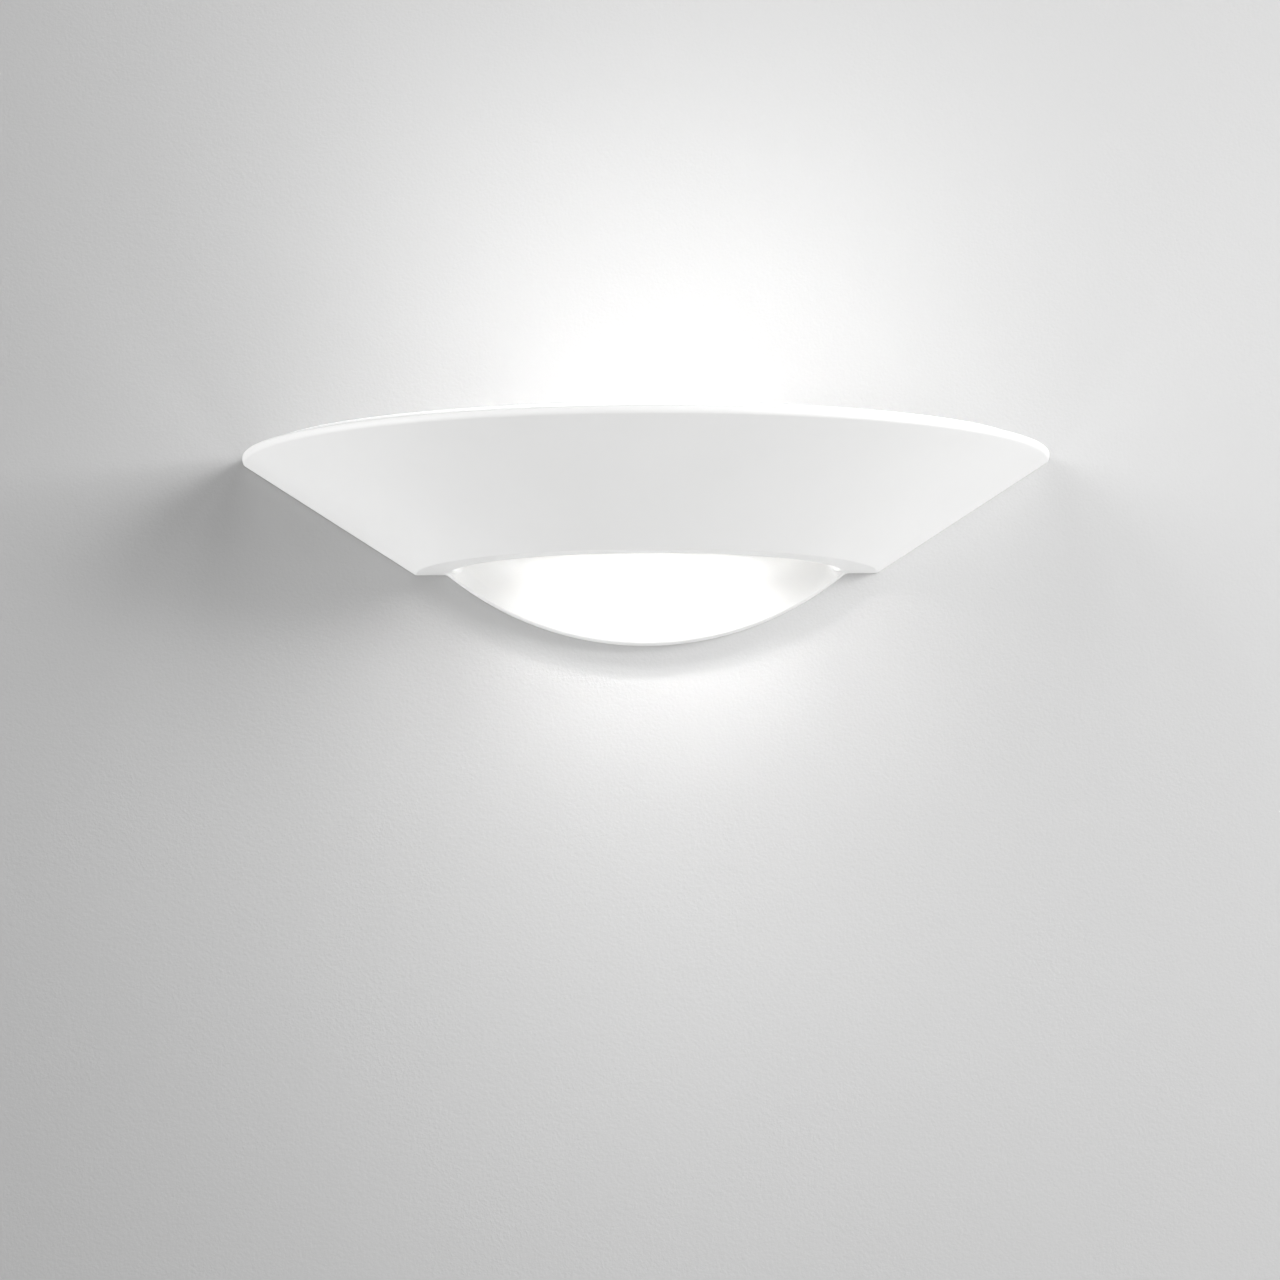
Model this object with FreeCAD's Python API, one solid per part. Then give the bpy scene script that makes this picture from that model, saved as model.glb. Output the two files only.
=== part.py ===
import FreeCAD, Part
import math
import os

from FreeCAD import Vector

# Half-round uplighter wall sconce, in millimetres.
# Frame: +Z up, the front faces -Y, +X is to the right of someone looking at the wall.
# The origin is on the wall plane, midway between the two fixing slots of the wall plate.
# "Height over the ring" is measured from the flat underside of the bowl.

# ---- Driving dimensions: ceramic body -------------------------------------------------
RIM_RADIUS = 175.0            # outer radius of the bowl at its rim
RING_RADIUS = 100.0           # outer radius of the flat underside ring
CONE_HEIGHT = 48.5            # from the ring's underside to the lower edge of the rim band
BAND_HEIGHT = 2.9             # upright band round the rim
SHELL_WALL = 8.5              # thickness of the sloping wall, square to its face
RING_WIDTH = 15.5             # flat underside, from the opening to the ring's outer edge
LIP_THICKNESS = 3.5           # upright edge of that opening
BACK_WALL = 9.5               # thickness of the wall behind the bowl and of its tongue
BACK_CORNER = 5.0             # inside rounding between the back wall and the sloping wall
RIM_ROUNDING = 1.0            # top edge of the rim
BAND_ROUNDING = 2.5           # between the sloping wall and the band
RING_ROUNDING = 1.5           # outer edge of the ring
RING_DROP = 22.5              # the ring's underside below the fixing slots

TONGUE_SIDE = 2.0             # tongue's corner beyond the opening, level with the ring
TONGUE_DROP = 31.2            # how far the tongue hangs below the ring
SCOOP_RADIUS = 112.0          # edge of the hollow in the tongue's face
SCOOP_DEPTH = 5.0             # deepest point of that hollow
SCOOP_MARGIN = 1.3            # flat border left under the hollow
TONGUE_ROUNDING = 0.8         # front edge of the tongue
TONGUE_FILLET = 4.0           # where its lower edge runs out into the ring
LIP_ROUNDING = 1.6            # lower edge of the opening in the underside

# ---- Driving dimensions: glass cover --------------------------------------------------
GLASS_THICKNESS = 4.0
GLASS_PROUD = 2.4             # top of the glass above the rim
REBATE_WIDTH = 7.4            # ledge that carries the glass
REBATE_ROUNDING = 0.6         # its inner corner and the edge over it
GLASS_SIDE_GAP = 1.0          # glass edge to the rebate's wall
GLASS_BACK_GAP = 2.5          # straight edge of the glass to the room's wall
PAD_THICKNESS = 0.5
PAD_RADIUS = 2.2

# ---- Driving dimensions: wall plate ---------------------------------------------------
PLATE_END = 8.0               # stud axis to the plate's end
PLATE_HALF_HEIGHT = 18.0
PLATE_THICKNESS = 1.5
PLATE_CORNER = 5.0
SLOT_OFFSET = 76.0            # fixing slots, either side of the centre
SLOT_RADIUS = 2.5
SLOT_LENGTH = 10.0
STUD_OFFSET = 92.0            # studs that hold the bowl
STUD_RADIUS = 1.95
ENTRY_RADIUS = 4.5            # bore for the supply cable
SPACER_OFFSET = 62.0          # pillars that carry the lamp bracket
PLATE_PLAY = 0.5              # gap round and in front of the plate in its recess
GROMMET_NECK = ENTRY_RADIUS + 2.0
GROMMET_FLANGE = ENTRY_RADIUS + 3.5
GROMMET_FLANGE_THICKNESS = 2.0

# ---- Driving dimensions: fixing of the bowl --------------------------------------------
STUD_HOLE_RADIUS = 3.25
SPOT_FACE_RADIUS = 7.5
SPOT_FACE_DEPTH = 1.0
STUD_COLLAR_RADIUS = 2.9
STUD_COLLAR_THICKNESS = 0.8
STUD_WASHER_RADIUS = 6.5
STUD_WASHER_THICKNESS = 1.0
KNURL_FLANGE_RADIUS = 6.0
KNURL_FLANGE_THICKNESS = 1.6
KNURL_RADIUS = 5.2
KNURL_DEPTH = 0.7
KNURL_FLUTES = 12
KNURL_HEIGHT = 8.0

# ---- Driving dimensions: window in the back wall --------------------------------------
WINDOW_END = 8.0              # stud axis to the window's end
WINDOW_TOP = 15.0
WINDOW_BOTTOM = -13.5
WINDOW_CORNER = 6.0

# ---- Driving dimensions: lamp and its holders -----------------------------------------
LAMP_FROM_WALL = 46.0         # lamp axis to the wall
LAMP_HALF_LENGTH = 58.8       # half of a 117.6 mm double-ended lamp
LAMP_TUBE_RADIUS = 5.0
LAMP_TUBE_WALL = 1.0
NECK_LENGTH = 11.3            # bare pinch between the round part of the tube and the cap
CAP_RADIUS = 4.7
CAP_LENGTH = 11.0
CONTACT_RECESS = 1.7          # depth of the contact in the end of the cap
CONTACT_HOLE_RADIUS = 2.3
PINCH_HALF_THICKNESS = 1.5    # flattened end of the tube
PINCH_HALF_WIDTH = 4.0
PINCH_IN_CAP = 4.0            # how far the pinch enters the cap
PINCH_PLAY = 0.1              # cement gap round the pinch
BUTTON_THICKNESS = 0.5        # contact button at the bottom of the recess
TIP_RISE = 2.2                # sealed filling tip over the tube
SHOULDER = 2.5                # closed end of the tube, beyond its hollow
FILAMENT_RADIUS = 0.9
FILAMENT_MARGIN = 6.5         # end of the coil to the end of the round part
LEAD_RADIUS = 0.3
SUPPORT_GAUGE = 0.35
PUSH_TRAVEL = 3.0             # how far the lamp is pushed to free it
HOLDER_GAP = 0.7              # lamp end to holder with the lamp fully pushed
HOLDER_LENGTH = 13.5
HOLDER_FRONT_WALL = 1.5
SCREW_TO_BARREL = 5.65        # holder screw's axis to the outside of the contact barrel
HOLDER_EDGE = 3.5             # holder screw's axis to the side of the holder
HOLDER_TOP = 7.0
HOLDER_BOTTOM = -8.0
CRADLE_LENGTH = 7.5
CRADLE_WALL = 1.7
NOSE_RADIUS = 1.8             # contact pin that enters the lamp's end
BARREL_RADIUS = 3.85
BARREL_WALL = 0.5
SPRING_WIRE = 0.6
SPRING_TURNS = 5
CONTACT_COLLAR_THICKNESS = 1.2
CONTACT_COLLAR_GAP = 0.5      # sliding contact's collar to the holder's front wall
TAIL_OVER_WIRE = 0.1          # rear end of a contact, thicker than its wire
TAIL_LENGTH = 5.0
CONTACT_FLANGE = 1.0          # thickness of the flange behind the holder
RUNNING_FIT = 0.08            # radial play of the sliding contact
CLEARANCE = 0.4               # radial play of the lamp's cap in its cradle

# ---- Driving dimensions: lamp bracket and reflector -----------------------------------
BRACKET_THICKNESS = 1.5
BRACKET_FROM_WALL = 20.0      # front face of the bracket's base
BASE_HALF_HEIGHT = 9.5
ARM_HALF_HEIGHT = 6.5
REFLECTOR_THICKNESS = 0.8
REFLECTOR_END_GAP = 1.8       # end of the reflector to the bracket washers
REFLECTOR_HALF_HEIGHT = 8.5
REFLECTOR_RISE = 2.5          # how far its edges come forward
REFLECTOR_FLAT = 0.35         # flat share of its height
RIVET_OFFSET = 40.0
RIVET_RADIUS = 1.55
SPACER_RADIUS = 4.0           # across the corners of the hexagonal pillars

# ---- Driving dimensions: terminal block and wiring ------------------------------------
POLE_PITCH = 8.5
POLE_GAP = 1.1                # between neighbouring towers
BLOCK_CENTRE = 30.0           # to the right of the cable entry
BLOCK_DEPTH = 12.5
BLOCK_HALF_WIDTH = 8.0
EAR_LENGTH = 6.5
EAR_THICKNESS = 3.0
EARTH_OFFSET = -32.0
WIRE_RADIUS = 1.1
WIRE_GAP = 1.6                # wires to the top of the window along which they run
WIRE_DEPTH = 14.0             # distance of that run from the wall
WIRE_LOOP = 18.0              # how far the wires swing out past the contacts' ends
CHANNEL_HEIGHT = 5.0          # axis of the clamp bodies over the plate
TUBE_PLAY = 0.35              # wire to the bore of its clamp body
TUBE_WALL = 0.75
TUBE_HALF_LENGTH = 6.5
TOWER_HALF_WIDTH = 3.6
CLAMP_RADIUS = 1.25
CLAMP_HEAD_RADIUS = 1.85
LUG_THICKNESS = 0.8
LUG_RADIUS = 4.2
LUG_REACH = 12.0
LUG_BARREL_LENGTH = 6.0
LUG_BARREL_WALL = 0.45
EARTH_WASHER_THICKNESS = 0.8
SLEEVE_WALL = 0.9
SLEEVE_OVERLAP = 3.0          # over the end of the wire

# ---- Fasteners -------------------------------------------------------------------------
M4_RADIUS = 1.95
M3_RADIUS = 1.45
M4_HEAD = (3.7, 2.4)          # radius and height of a pan head
M3_HEAD = (2.8, 2.0)
M4_WASHER_RADIUS = 4.2
M4_WASHER_THICKNESS = 0.8
NUT_ACROSS = 5.5              # M3 nut, across its flats
NUT_THICKNESS = 2.2
NUT_PLAY = 0.1                # nut to its pocket, each side
NUT_POCKET = NUT_THICKNESS + 0.2
HOLE_PLAY = 0.05              # radial play of a screw in a threaded hole
FREE_HOLE_PLAY = 0.25         # radial play of a screw in a plain hole

# ---- Sizes and places worked out from the above -----------------------------------------
LIP_RADIUS = RING_RADIUS - RING_WIDTH
TONGUE_HALF_WIDTH = LIP_RADIUS + TONGUE_SIDE
PLATE_HALF_LENGTH = STUD_OFFSET + PLATE_END
WINDOW_HALF_LENGTH = STUD_OFFSET - WINDOW_END
LAMP_TUBE_HALF = LAMP_HALF_LENGTH - CAP_LENGTH - NECK_LENGTH
SCREW_SPREAD = BARREL_RADIUS + SCREW_TO_BARREL
HOLDER_HALF_WIDTH = SCREW_SPREAD + HOLDER_EDGE
REFLECTOR_HALF_LENGTH = SPACER_OFFSET - M4_WASHER_RADIUS - REFLECTOR_END_GAP
POLE_WIDTH = POLE_PITCH - POLE_GAP
WIRE_LIFT = WINDOW_TOP - WIRE_RADIUS - WIRE_GAP
TUBE_BORE = WIRE_RADIUS + TUBE_PLAY
TUBE_HALF_WIDTH = TUBE_BORE + TUBE_WALL
TAIL_RADIUS = WIRE_RADIUS + TAIL_OVER_WIRE
RING_Z = -RING_DROP
BAND_Z = RING_Z + CONE_HEIGHT
RIM_Z = BAND_Z + BAND_HEIGHT
GLASS_TOP = RIM_Z + GLASS_PROUD
GLASS_BOTTOM = GLASS_TOP - GLASS_THICKNESS
LEDGE_Z = GLASS_BOTTOM - PAD_THICKNESS
CONE_SPREAD = (RIM_RADIUS - RING_RADIUS) / CONE_HEIGHT
WALL_ACROSS = SHELL_WALL * math.hypot(1.0, CONE_SPREAD)
LEDGE_INNER = RING_RADIUS + (LEDGE_Z - RING_Z) * CONE_SPREAD - WALL_ACROSS
LEDGE_OUTER = LEDGE_INNER + REBATE_WIDTH
GLASS_RADIUS = LEDGE_OUTER - GLASS_SIDE_GAP

CONTACT_X = LAMP_HALF_LENGTH - CONTACT_RECESS
HOLDER_X = LAMP_HALF_LENGTH + PUSH_TRAVEL + HOLDER_GAP
HOLDER_END = HOLDER_X + HOLDER_LENGTH
CHAMBER_X = HOLDER_X + HOLDER_FRONT_WALL
FLANGE_END = HOLDER_END + CONTACT_FLANGE
TAIL_END = FLANGE_END + TAIL_LENGTH
BARREL_FLANGE = BARREL_RADIUS + 0.8
BARREL_FLOOR = HOLDER_END - 0.2
ARM_OUTER = HOLDER_END + BRACKET_THICKNESS
BASE_BACK = BRACKET_FROM_WALL - BRACKET_THICKNESS
STUD_SEAT = BACK_WALL - SPOT_FACE_DEPTH
CHANNEL_DEPTH = PLATE_THICKNESS + CHANNEL_HEIGHT
LUG_AXIS = PLATE_THICKNESS + WIRE_RADIUS + LUG_BARREL_WALL
PINCH_END = LAMP_HALF_LENGTH - CAP_LENGTH + PINCH_IN_CAP
HOLLOW_HALF = LAMP_TUBE_HALF - SHOULDER
FILAMENT_HALF_LENGTH = LAMP_TUBE_HALF - FILAMENT_MARGIN

UP = Vector(0, 0, 1)
RIGHT = Vector(1, 0, 0)
OUT_OF_WALL = Vector(0, -1, 0)


# ---- Shape helpers -----------------------------------------------------------------------
def outline(corners, to_space, bevelled=False):
    """Closed wire through corners (u, v, softening), placed by to_space(u, v).

    A corner is rounded to that radius or, where bevelled is set, cut off that far from its tip.
    """
    count = len(corners)
    entries, middles, exits = [], [], []
    for i, (u, v, softening) in enumerate(corners):
        here = Vector(u, v, 0)
        before = corners[i - 1]
        after = corners[(i + 1) % count]
        back = (Vector(before[0], before[1], 0) - here).normalize()
        ahead = (Vector(after[0], after[1], 0) - here).normalize()
        half = back.getAngle(ahead) / 2
        reach = softening if bevelled else softening / math.tan(half)
        entries.append(here + back * reach)
        exits.append(here + ahead * reach)
        inward = back + ahead
        if softening > 0:
            inward.normalize()
        middles.append(here + inward * (softening / math.sin(half) - softening))
    edges = []
    for i in range(count):
        start, end = exits[i - 1], entries[i]
        if (end - start).Length > 1e-6:
            edges.append(Part.LineSegment(to_space(start.x, start.y), to_space(end.x, end.y)).toShape())
        through = [to_space(p.x, p.y) for p in (entries[i], middles[i], exits[i])]
        if corners[i][2] > 0 and bevelled:
            edges.append(Part.LineSegment(through[0], through[2]).toShape())
        elif corners[i][2] > 0:
            edges.append(Part.Arc(*through).toShape())
    return Part.Wire(edges)


def block(x, y, z):
    """Box between pairs of limits."""
    return Part.makeBox(x[1] - x[0], y[1] - y[0], z[1] - z[0], Vector(x[0], y[0], z[0]))


def rod(start, end, radius):
    return Part.makeCylinder(radius, (end - start).Length, start, end - start)


def turned(corners, foot, direction):
    """Lathe part from corners (radius, distance along the axis, bevel)."""
    face = Part.Face(outline(corners, lambda u, v: Vector(u, 0, v), bevelled=True))
    solid = face.revolve(Vector(0, 0, 0), UP, 360)
    solid.Placement = FreeCAD.Placement(foot, FreeCAD.Rotation(UP, direction))
    return solid


def plate_xz(corners, y_front, y_back):
    """Sheet or slab whose outline lies in the wall's plane."""
    face = Part.Face(outline(corners, lambda u, v: Vector(u, y_front, v)))
    return face.extrude(Vector(0, y_back - y_front, 0))


def half_turned(corners):
    """Body of revolution round the Z axis, on the room's side of the wall."""
    face = Part.Face(outline(corners, lambda u, v: Vector(-u, 0, v)))
    return face.revolve(Vector(0, 0, 0), UP, 180)


def rectangle(half_x, z_low, z_high, rounding):
    return [(-half_x, z_low, rounding), (half_x, z_low, rounding),
            (half_x, z_high, rounding), (-half_x, z_high, rounding)]


def both_sides(make):
    """The same piece at the left and at the right."""
    return Part.makeCompound([make(-1), make(1)])


def wall_point(x, depth, z):
    """A point at a distance in front of the wall."""
    return Vector(x, -depth, z)


def washer(foot, screw_radius, radius, thickness):
    """Plain washer on a screw or stud that stands out of the wall."""
    bore = screw_radius + FREE_HOLE_PLAY
    return turned([(bore, 0, 0), (radius, 0, 0), (radius, thickness, thickness * 0.25), (bore, thickness, 0)],
                  foot, OUT_OF_WALL)


def pan_screw(seat, direction, radius, length, head_size, slot_angle):
    """Slotted pan-head screw; direction points out of the head."""
    head_radius, head_height = head_size
    head = [(0, 0, 0), (head_radius, 0, 0), (head_radius, head_height, head_height * 0.5),
            (0, head_height, 0)]
    solid = turned(head, seat, direction)
    slot_depth = head_height * 0.45
    slot = Part.makeBox(head_radius * 2.2, head_radius * 0.28, slot_depth + 1,
                        Vector(-head_radius * 1.1, -head_radius * 0.14, head_height - slot_depth))
    slot.rotate(Vector(0, 0, 0), UP, slot_angle)
    turn = FreeCAD.Placement(seat, FreeCAD.Rotation(UP, direction))
    slot.Placement = turn.multiply(slot.Placement)
    shank = rod(seat, seat - direction * length, radius)
    return solid.cut(slot).fuse(shank).removeSplitter()


# ---- Ceramic body ------------------------------------------------------------------------
def bowl_outside():
    """Solid of the bowl's outer form: ring, cone and upright band."""
    return half_turned([(0, RING_Z, 0), (RING_RADIUS, RING_Z, RING_ROUNDING),
                        (RIM_RADIUS, BAND_Z, BAND_ROUNDING), (RIM_RADIUS, RIM_Z, RIM_ROUNDING), (0, RIM_Z, 0)])


def corners_on_back_wall(solid):
    """Edges, other than level ones, where a hollow meets the face of the back wall."""
    return [edge for edge in solid.Edges
            if abs(edge.BoundBox.YMin + BACK_WALL) < 1e-4
            and abs(edge.BoundBox.YMax + BACK_WALL) < 1e-4
            and edge.BoundBox.ZLength > 1.0]


def bowl_hollow():
    """Space inside the bowl and through its lip, with rounded upright corners at the back."""
    lip_top = RING_Z + LIP_THICKNESS
    low, high = RING_Z - 6.0, RIM_Z + 6.0

    def cone_radius(z):
        return RING_RADIUS + (z - RING_Z) * CONE_SPREAD - WALL_ACROSS

    reach = RIM_RADIUS * 2
    room = block((-reach, reach), (-reach, -BACK_WALL), (low - 1, high + 1))
    cone = half_turned([(0, low, 0), (cone_radius(low), low, 0), (cone_radius(high), high, 0), (0, high, 0)])
    cone = cone.common(room).Solids[0]
    cone = cone.makeFillet(BACK_CORNER, corners_on_back_wall(cone))
    cone = cone.common(block((-reach, reach), (-reach, 1), (lip_top, high + 1)))
    mouth = half_turned([(0, low, 0), (LIP_RADIUS, low, 0), (LIP_RADIUS, lip_top + 1, 0), (0, lip_top + 1, 0)])
    mouth = mouth.common(room).Solids[0]
    mouth = mouth.makeFillet(BACK_CORNER, corners_on_back_wall(mouth))
    return cone.fuse([mouth] + [flare.common(room) for flare in lip_flares()])


def lip_flares():
    """Tools that round the lower edge of the opening: one along its arc, one in each back corner."""
    middle_radius = LIP_RADIUS - BACK_CORNER
    corner_y = -BACK_WALL - BACK_CORNER
    corner_x = math.sqrt(middle_radius ** 2 - corner_y ** 2)
    corner_angle = math.degrees(math.asin(-corner_y / middle_radius))

    def flare(centre, radius, start, sweep):
        top = RING_Z + LIP_ROUNDING
        low = RING_Z - 1.0
        inside = radius - 1.0
        outside = radius + LIP_ROUNDING
        corners = [(inside, low, 0), (outside, low, 0), (outside, RING_Z, 0), (radius, RING_Z, LIP_ROUNDING),
                   (radius, top + 1, 0), (inside, top + 1, 0)]
        face = Part.Face(outline(corners, lambda u, v: centre + Vector(u, 0, v)))
        face.rotate(centre, UP, start)
        return face.revolve(centre, UP, sweep)

    return [flare(Vector(0, 0, 0), LIP_RADIUS, corner_angle - 180, 180 - 2 * corner_angle),
            flare(Vector(-corner_x, corner_y, 0), BACK_CORNER, 90, 90 + corner_angle),
            flare(Vector(corner_x, corner_y, 0), BACK_CORNER, -corner_angle, 90 + corner_angle)]


def tongue():
    """Slab that continues the back wall below the ring: one long arc that runs out into the ring."""
    arc_radius = (TONGUE_HALF_WIDTH ** 2 + TONGUE_DROP ** 2) / (2 * TONGUE_DROP)
    centre = Vector(0, 0, RING_Z - TONGUE_DROP + arc_radius)
    fillet_z = RING_Z - TONGUE_FILLET
    fillet_x = math.sqrt((arc_radius + TONGUE_FILLET) ** 2 - (centre.z - fillet_z) ** 2)
    foot = Vector(0, 0, RING_Z - TONGUE_DROP)
    lift = Vector(0, 0, LIP_THICKNESS)

    def run_out(side):
        """Points of the small arc: on the long arc, halfway, and level with the ring."""
        middle = Vector(side * fillet_x, 0, fillet_z)
        towards = (centre - middle).normalize()
        halfway = (towards + UP).normalize()
        return [middle + towards * TONGUE_FILLET, middle + halfway * TONGUE_FILLET, middle + UP * TONGUE_FILLET]

    left, right = run_out(-1), run_out(1)
    edges = [Part.Arc(left[0], foot, right[0]).toShape(),
             Part.Arc(*right).toShape(),
             Part.LineSegment(right[2], right[2] + lift).toShape(),
             Part.LineSegment(right[2] + lift, left[2] + lift).toShape(),
             Part.LineSegment(left[2] + lift, left[2]).toShape(),
             Part.Arc(*left).toShape()]
    slab = Part.Face(Part.Wire(edges)).extrude(Vector(0, -BACK_WALL, 0))
    front_arc = [edge for edge in slab.Edges
                 if edge.BoundBox.ZLength > TONGUE_DROP * 0.8 and edge.BoundBox.YMax < -BACK_WALL + 1e-4]
    return slab.makeFillet(TONGUE_ROUNDING, front_arc)


def scoop():
    """Shallow spherical hollow in the face of the tongue and back wall."""
    sphere_radius = (SCOOP_RADIUS ** 2 + SCOOP_DEPTH ** 2) / (2 * SCOOP_DEPTH)
    centre_z = RING_Z - TONGUE_DROP + SCOOP_MARGIN + SCOOP_RADIUS
    deepest = -BACK_WALL + SCOOP_DEPTH
    face_point = Vector(0, -BACK_WALL, centre_z)
    rim_point = Vector(0, -BACK_WALL, centre_z - SCOOP_RADIUS)
    deep_point = Vector(0, deepest, centre_z)
    half = math.asin(SCOOP_RADIUS / sphere_radius) / 2
    mid = Vector(0, deepest - sphere_radius * (1 - math.cos(half)),
                 centre_z - sphere_radius * math.sin(half))
    edges = [Part.Arc(rim_point, mid, deep_point).toShape(),
             Part.LineSegment(deep_point, face_point).toShape(),
             Part.LineSegment(face_point, rim_point).toShape()]
    lens = Part.Face(Part.Wire(edges)).revolve(face_point, Vector(0, 1, 0), 360)
    return lens


def glass_rebate():
    """Step in the rim, open to the wall behind, that the glass lies in."""
    return half_turned([(0, LEDGE_Z, 0), (LEDGE_OUTER, LEDGE_Z, REBATE_ROUNDING),
                        (LEDGE_OUTER, RIM_Z, REBATE_ROUNDING), (LEDGE_OUTER + 2, RIM_Z, 0),
                        (LEDGE_OUTER + 2, RIM_Z + 5, 0), (0, RIM_Z + 5, 0)])


def plate_recess():
    corners = rectangle(PLATE_HALF_LENGTH + PLATE_PLAY, -PLATE_HALF_HEIGHT - PLATE_PLAY,
                        PLATE_HALF_HEIGHT + PLATE_PLAY, PLATE_CORNER)
    return plate_xz(corners, -PLATE_THICKNESS - PLATE_PLAY, 1.0)


def make_bowl_body():
    body = bowl_outside().fuse(tongue()).cut(bowl_hollow())
    body = body.cut([scoop(), glass_rebate(), plate_recess()])
    window = rectangle(WINDOW_HALF_LENGTH, WINDOW_BOTTOM, WINDOW_TOP, WINDOW_CORNER)
    body = body.cut(plate_xz(window, -BACK_WALL - 5, 5))
    for side in (-1, 1):
        x = side * STUD_OFFSET
        hole = rod(wall_point(x, -1, 0), wall_point(x, BACK_WALL + 1, 0), STUD_HOLE_RADIUS)
        spot = rod(wall_point(x, STUD_SEAT, 0), wall_point(x, BACK_WALL + 3, 0), SPOT_FACE_RADIUS)
        body = body.cut([hole, spot])
    return body.removeSplitter()


# ---- Glass cover ---------------------------------------------------------------------------
def make_glass_cover():
    bevel = 0.5
    disc = turned([(0, GLASS_BOTTOM, 0), (GLASS_RADIUS - bevel, GLASS_BOTTOM, 0),
                   (GLASS_RADIUS, GLASS_BOTTOM + bevel, 0), (GLASS_RADIUS, GLASS_TOP - bevel, 0),
                   (GLASS_RADIUS - bevel, GLASS_TOP, 0), (0, GLASS_TOP, 0)], Vector(0, 0, 0), UP)
    reach = RIM_RADIUS * 2
    room = block((-reach, reach), (-reach, -GLASS_BACK_GAP), (RING_Z, GLASS_TOP + 5))
    return disc.common(room)


def make_glass_pads():
    """Four soft buttons on the ledge: two in the rim, two on the back wall."""
    middle = (LEDGE_INNER + LEDGE_OUTER) / 2 - GLASS_SIDE_GAP / 2
    angle = math.radians(52)
    back_x = LEDGE_INNER * 0.7
    back_depth = (GLASS_BACK_GAP + BACK_WALL) / 2
    places = [Vector(-middle * math.cos(angle), -middle * math.sin(angle), LEDGE_Z),
              Vector(middle * math.cos(angle), -middle * math.sin(angle), LEDGE_Z),
              wall_point(-back_x, back_depth, LEDGE_Z),
              wall_point(back_x, back_depth, LEDGE_Z)]
    return Part.makeCompound([rod(p, p + UP * PAD_THICKNESS, PAD_RADIUS) for p in places])


# ---- Wall plate and what is fixed in it ------------------------------------------------------
def slot_at(x):
    straight = SLOT_LENGTH / 2 - SLOT_RADIUS
    front = -PLATE_THICKNESS - 1
    left = Vector(x - straight, front, 0)
    right = Vector(x + straight, front, 0)
    up = UP * SLOT_RADIUS
    edges = [Part.LineSegment(left + up, right + up).toShape(),
             Part.Arc(right + up, right + RIGHT * SLOT_RADIUS, right - up).toShape(),
             Part.LineSegment(right - up, left - up).toShape(),
             Part.Arc(left - up, left - RIGHT * SLOT_RADIUS, left + up).toShape()]
    return Part.Face(Part.Wire(edges)).extrude(Vector(0, 1 - front, 0))


def plate_hole(x, radius):
    return rod(wall_point(x, -1, 0), wall_point(x, PLATE_THICKNESS + 1, 0), radius)


def ear_hole_x(side):
    return BLOCK_CENTRE + side * (1.5 * POLE_PITCH + EAR_LENGTH / 2)


def make_wall_plate():
    corners = rectangle(PLATE_HALF_LENGTH, -PLATE_HALF_HEIGHT, PLATE_HALF_HEIGHT, PLATE_CORNER)
    plate = plate_xz(corners, -PLATE_THICKNESS, 0)
    holes = [slot_at(-SLOT_OFFSET), slot_at(SLOT_OFFSET), plate_hole(0, GROMMET_NECK + HOLE_PLAY),
             plate_hole(EARTH_OFFSET, M4_RADIUS + HOLE_PLAY)]
    for side in (-1, 1):
        holes.append(plate_hole(side * STUD_OFFSET, STUD_RADIUS + HOLE_PLAY))
        holes.append(plate_hole(side * SPACER_OFFSET, M4_RADIUS + HOLE_PLAY))
        holes.append(plate_hole(ear_hole_x(side), M3_RADIUS + HOLE_PLAY))
    return plate.cut(holes)


def make_cable_grommet():
    flange_end = PLATE_THICKNESS + GROMMET_FLANGE_THICKNESS
    return turned([(ENTRY_RADIUS, 0, 0), (GROMMET_NECK, 0, 0), (GROMMET_NECK, PLATE_THICKNESS, 0),
                   (GROMMET_FLANGE, PLATE_THICKNESS, 0), (GROMMET_FLANGE, flange_end, 0.8),
                   (ENTRY_RADIUS, flange_end, 0)], Vector(0, 0, 0), OUT_OF_WALL)


def make_fixing_studs():
    """Threaded studs pressed into the plate, each with a thin collar in front of it."""
    end = STUD_SEAT + STUD_WASHER_THICKNESS + KNURL_HEIGHT + 2.5

    def stud(side):
        x = side * STUD_OFFSET
        shank = turned([(0, 0, 0), (STUD_RADIUS, 0, 0), (STUD_RADIUS, end, 0.6), (0, end, 0)],
                       wall_point(x, 0, 0), OUT_OF_WALL)
        collar_end = wall_point(x, PLATE_THICKNESS + STUD_COLLAR_THICKNESS, 0)
        collar = rod(wall_point(x, PLATE_THICKNESS, 0), collar_end, STUD_COLLAR_RADIUS)
        return shank.fuse(collar)

    return both_sides(stud)


def make_stud_washers():
    return both_sides(lambda side: washer(wall_point(side * STUD_OFFSET, STUD_SEAT, 0), STUD_RADIUS,
                                          STUD_WASHER_RADIUS, STUD_WASHER_THICKNESS))


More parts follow.
